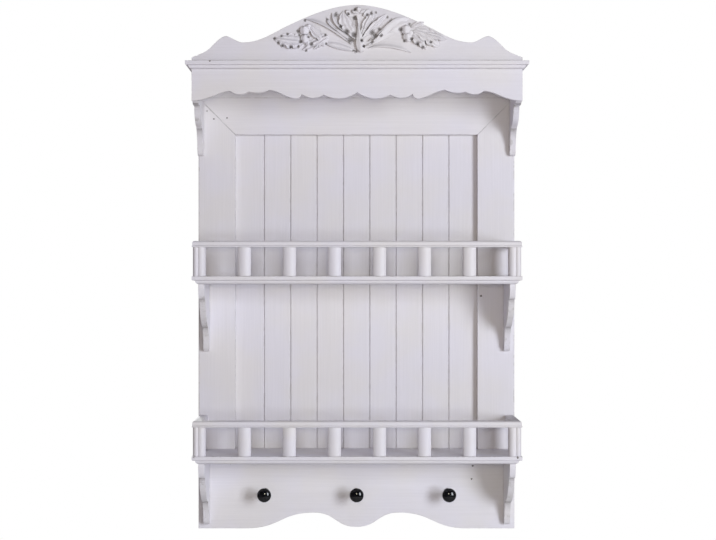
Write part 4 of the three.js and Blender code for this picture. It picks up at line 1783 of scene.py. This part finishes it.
@dataclass
class Hangers:
    """The keyhole plates on the backs of the stiles, each with two countersunk screws."""

    head_radius: float = 5 * MM
    slot_radius: float = 2.4 * MM
    travel: float = 14 * MM
    corner: float = 2 * MM
    easing: float = 0.3 * MM
    screw_radius: float = 3.1 * MM
    screw_rise: float = 0.6 * MM
    screw_inset: float = 7 * MM
    slot_width: float = 0.8 * MM

    def build(self, shop: Workshop) -> None:
        """Make both plates with their screws.

        Args:
            shop: The workshop that finishes the pieces.
        """
        for _, name in SIDES:
            node = f"{name}_hanger_plate"
            place = Place.of(node)
            shop.hang(self.plate(place), node, shop.zinc, Grain.UPRIGHT, [node])
            for end, word in ((-1, "lower"), (1, "upper")):
                height = place.middle.z + end * (place.size.z / 2 - self.screw_inset)
                screw = self.screw(Vector((place.middle.x, place.high.y, height)))
                shop.hang(screw, f"{name}_{word}_plate_screw", shop.zinc, Grain.DEEP, [])

    def plate(self, place: Place) -> Workpiece:
        """Cut a plate with rounded corners and its keyhole.

        Args:
            place: The space that the plate takes up.

        Returns:
            The plate.
        """
        low, high, corner = place.low, place.high, self.corner
        rim = Outline((high.x, high.z - corner), steps=5)
        centres = rectangle((high.x - corner, high.z - corner), (low.x + corner, low.z + corner))
        for quarter, centre in enumerate(centres):
            rim.arc(centre, corner, 90 * quarter, 90 * (quarter + 1))
        plate = Workpiece.sawn(rim.points, Plane.FRONT, place)
        middle, half = place.middle, self.travel / 2
        slot, head = (middle.x, middle.z + half), (middle.x, middle.z - half)
        shoulder = math.degrees(math.acos(self.slot_radius / self.head_radius))
        keyhole = Outline((middle.x + self.slot_radius, slot[1]), steps=16)
        keyhole.arc(slot, self.slot_radius, 0, 180)
        keyhole.arc(head, self.head_radius, 180 - shoulder, 360 + shoulder)
        hole = Workpiece.sawn(keyhole.points, Plane.FRONT, place, OVERRUN)
        return plate.fitted(Fit.CUT_AWAY, hole).ease(self.easing, segments=1)

    def screw(self, seat: Vector) -> Workpiece:
        """Turn a screw's lens head and cut its slot.

        Args:
            seat: The head's middle on the plate.

        Returns:
            The head, with its shank left out.
        """
        sunk = -self.screw_rise
        profile = Outline((0, sunk), steps=6).line((self.screw_radius, sunk), (self.screw_radius, 0))
        profile.curve((self.screw_radius / 2, self.screw_rise), (0, self.screw_rise))
        head = Workpiece.turned(profile.points, seat, Vector((0, 1, 0)), steps=24)
        reach, rise = Vector((self.screw_radius + OVERRUN, 0, self.slot_width / 2)), Vector((0, OVERRUN, 0))
        return head.fitted(Fit.CUT_AWAY, Workpiece.block(Place(seat - reach, seat + reach + rise)))


@dataclass(frozen=True)
class Softbox:
    """A soft light that is aimed at the middle of the shelf, with its width and its height in metres."""

    name: str
    place: Triple
    size: Pair
    power: float
    colour: Triple = (1, 1, 1)

    def hang(self) -> None:
        """Hang the light."""
        data = bpy.data.lights.new(self.name, "AREA")
        data.shape, data.energy, data.color = "RECTANGLE", self.power, self.colour
        data.size, data.size_y = self.size
        lamp = bpy.data.objects.new(self.name, data)
        lamp.location = self.place
        lamp.rotation_euler = (-Vector(self.place)).to_track_quat("-Z", "Y").to_euler()
        bpy.context.scene.collection.objects.link(lamp)


@dataclass
class Studio:
    """A white studio: pale floor, key light on the right, weak fill, light for the back, camera."""

    camera_place: Triple = (-0.028, -3.276, -0.003)
    focal_pixels: float = 1505.7
    axis_pixel: Pair = (343.5, 275.0)
    picture: tuple[int, int] = (716, 540)
    sensor: float = 36.0
    daylight: Triple = (1, 0.88, 0.97)
    from_below: float = 0.5
    from_above: float = 0.04
    gloss: float = 0.02
    floor_height: float = -1.2
    floor_radius: float = 3.2
    floor_tones: tuple[Triple, Triple] = ((0.80, 0.80, 0.80), (0.84, 0.84, 0.84))
    floor_roughness: float = 0.7
    fade_start: float = 0.6
    key: Softbox = Softbox("key_light", (2.52, -3.73, 0.22), (1.3, 2.0), 131, (0.86, 0.9, 0.98))
    fill: Softbox = Softbox("fill_light", (0, -3.1, 0.1), (0.3, 0.3), 11.5, (1, 0.92, 0.7))
    back: Softbox = Softbox("back_light", (-1.8, 4.2, 1.5), (2.0, 2.0), 110, (0.97, 1, 0.98))

    def build(self) -> None:
        """Set up the surroundings, the lights and the camera."""
        bpy.context.scene.view_settings.view_transform = "Standard"
        self.surround()
        self.lay_floor()
        for light in (self.key, self.fill, self.back):
            light.hang()
        self.stand_camera()

    def surround(self) -> None:
        """Light the studio softly, more from below, with a pure white backdrop for the camera alone."""
        sheet = Sheet(bpy.data.worlds.new("studio"))
        rays = sheet.add("LightPath").outputs
        way = sheet.add("SeparateXYZ", Vector=sheet.add("TexCoord").outputs["Generated"])
        glow = sheet.ramp(way.outputs["Z"], -1, 1, self.from_below, self.from_above, "LINEAR")
        dimmed = sheet.mix(rays["Is Glossy Ray"], glow, self.gloss)
        backdrop = sheet.add(
            "Background", Strength=sheet.mix(rays["Is Camera Ray"], dimmed, 1),
            Color=sheet.blend(rays["Is Camera Ray"], self.daylight, (1, 1, 1)),
        )
        bpy.context.scene.world = sheet.close(backdrop, "World")

    def lay_floor(self) -> None:
        """Lay a round pale floor that fades out towards its rim."""
        disc = bmesh.new()
        place = Matrix.Translation((0, 0, self.floor_height))
        bmesh.ops.create_circle(disc, cap_ends=True, segments=96, radius=self.floor_radius, matrix=place)
        data = bpy.data.meshes.new("studio_floor")
        disc.to_mesh(data)
        disc.free()
        floor = bpy.data.objects.new("studio_floor", data)
        bpy.context.scene.collection.objects.link(floor)
        sheet = Sheet(bpy.data.materials.new("pale_floor"))
        spot = sheet.place()
        mottle = sheet.blend(sheet.noise(spot, 3), *self.floor_tones)
        pale = sheet.add("BsdfPrincipled", Base_Color=mottle, Roughness=self.floor_roughness)
        clear = sheet.add("BsdfTransparent")
        away = sheet.add("VectorMath", {"operation": "LENGTH"}, _0=spot).outputs["Value"]
        share = sheet.ramp(away, self.floor_radius * self.fade_start, self.floor_radius)
        faded = sheet.add("MixShader", _0=share, _1=pale.outputs[0], _2=clear.outputs[0])
        data.materials.append(sheet.close(faded))

    def stand_camera(self) -> None:
        """Stand the camera square to the shelf and frame it as in the photograph."""
        data = bpy.data.cameras.new("camera")
        width, height = self.picture
        data.sensor_width = self.sensor
        data.lens = self.focal_pixels / width * self.sensor
        data.shift_x = (width / 2 - self.axis_pixel[0]) / width
        data.shift_y = (self.axis_pixel[1] - height / 2) / width
        camera = bpy.data.objects.new("camera", data)
        camera.location = self.camera_place
        camera.rotation_euler = (math.pi / 2, 0, 0)
        bpy.context.scene.collection.objects.link(camera)
        bpy.context.scene.camera = camera


def main() -> None:
    """Build the shelf and the studio."""
    logging.basicConfig(level=logging.INFO, format="%(message)s")
    Studio().build()
    shop = Workshop()
    shelves = [made for level in LEVELS for made in (Shelf(level), Gallery(level))]
    for part in (BackFrame(), BackBoards(), PegRail(), *shelves, Brackets(), Canopy(), Crest(), Hangers()):
        log.info("%s", type(part).__name__)
        part.build(shop)


if __name__ == "__main__":
    main()
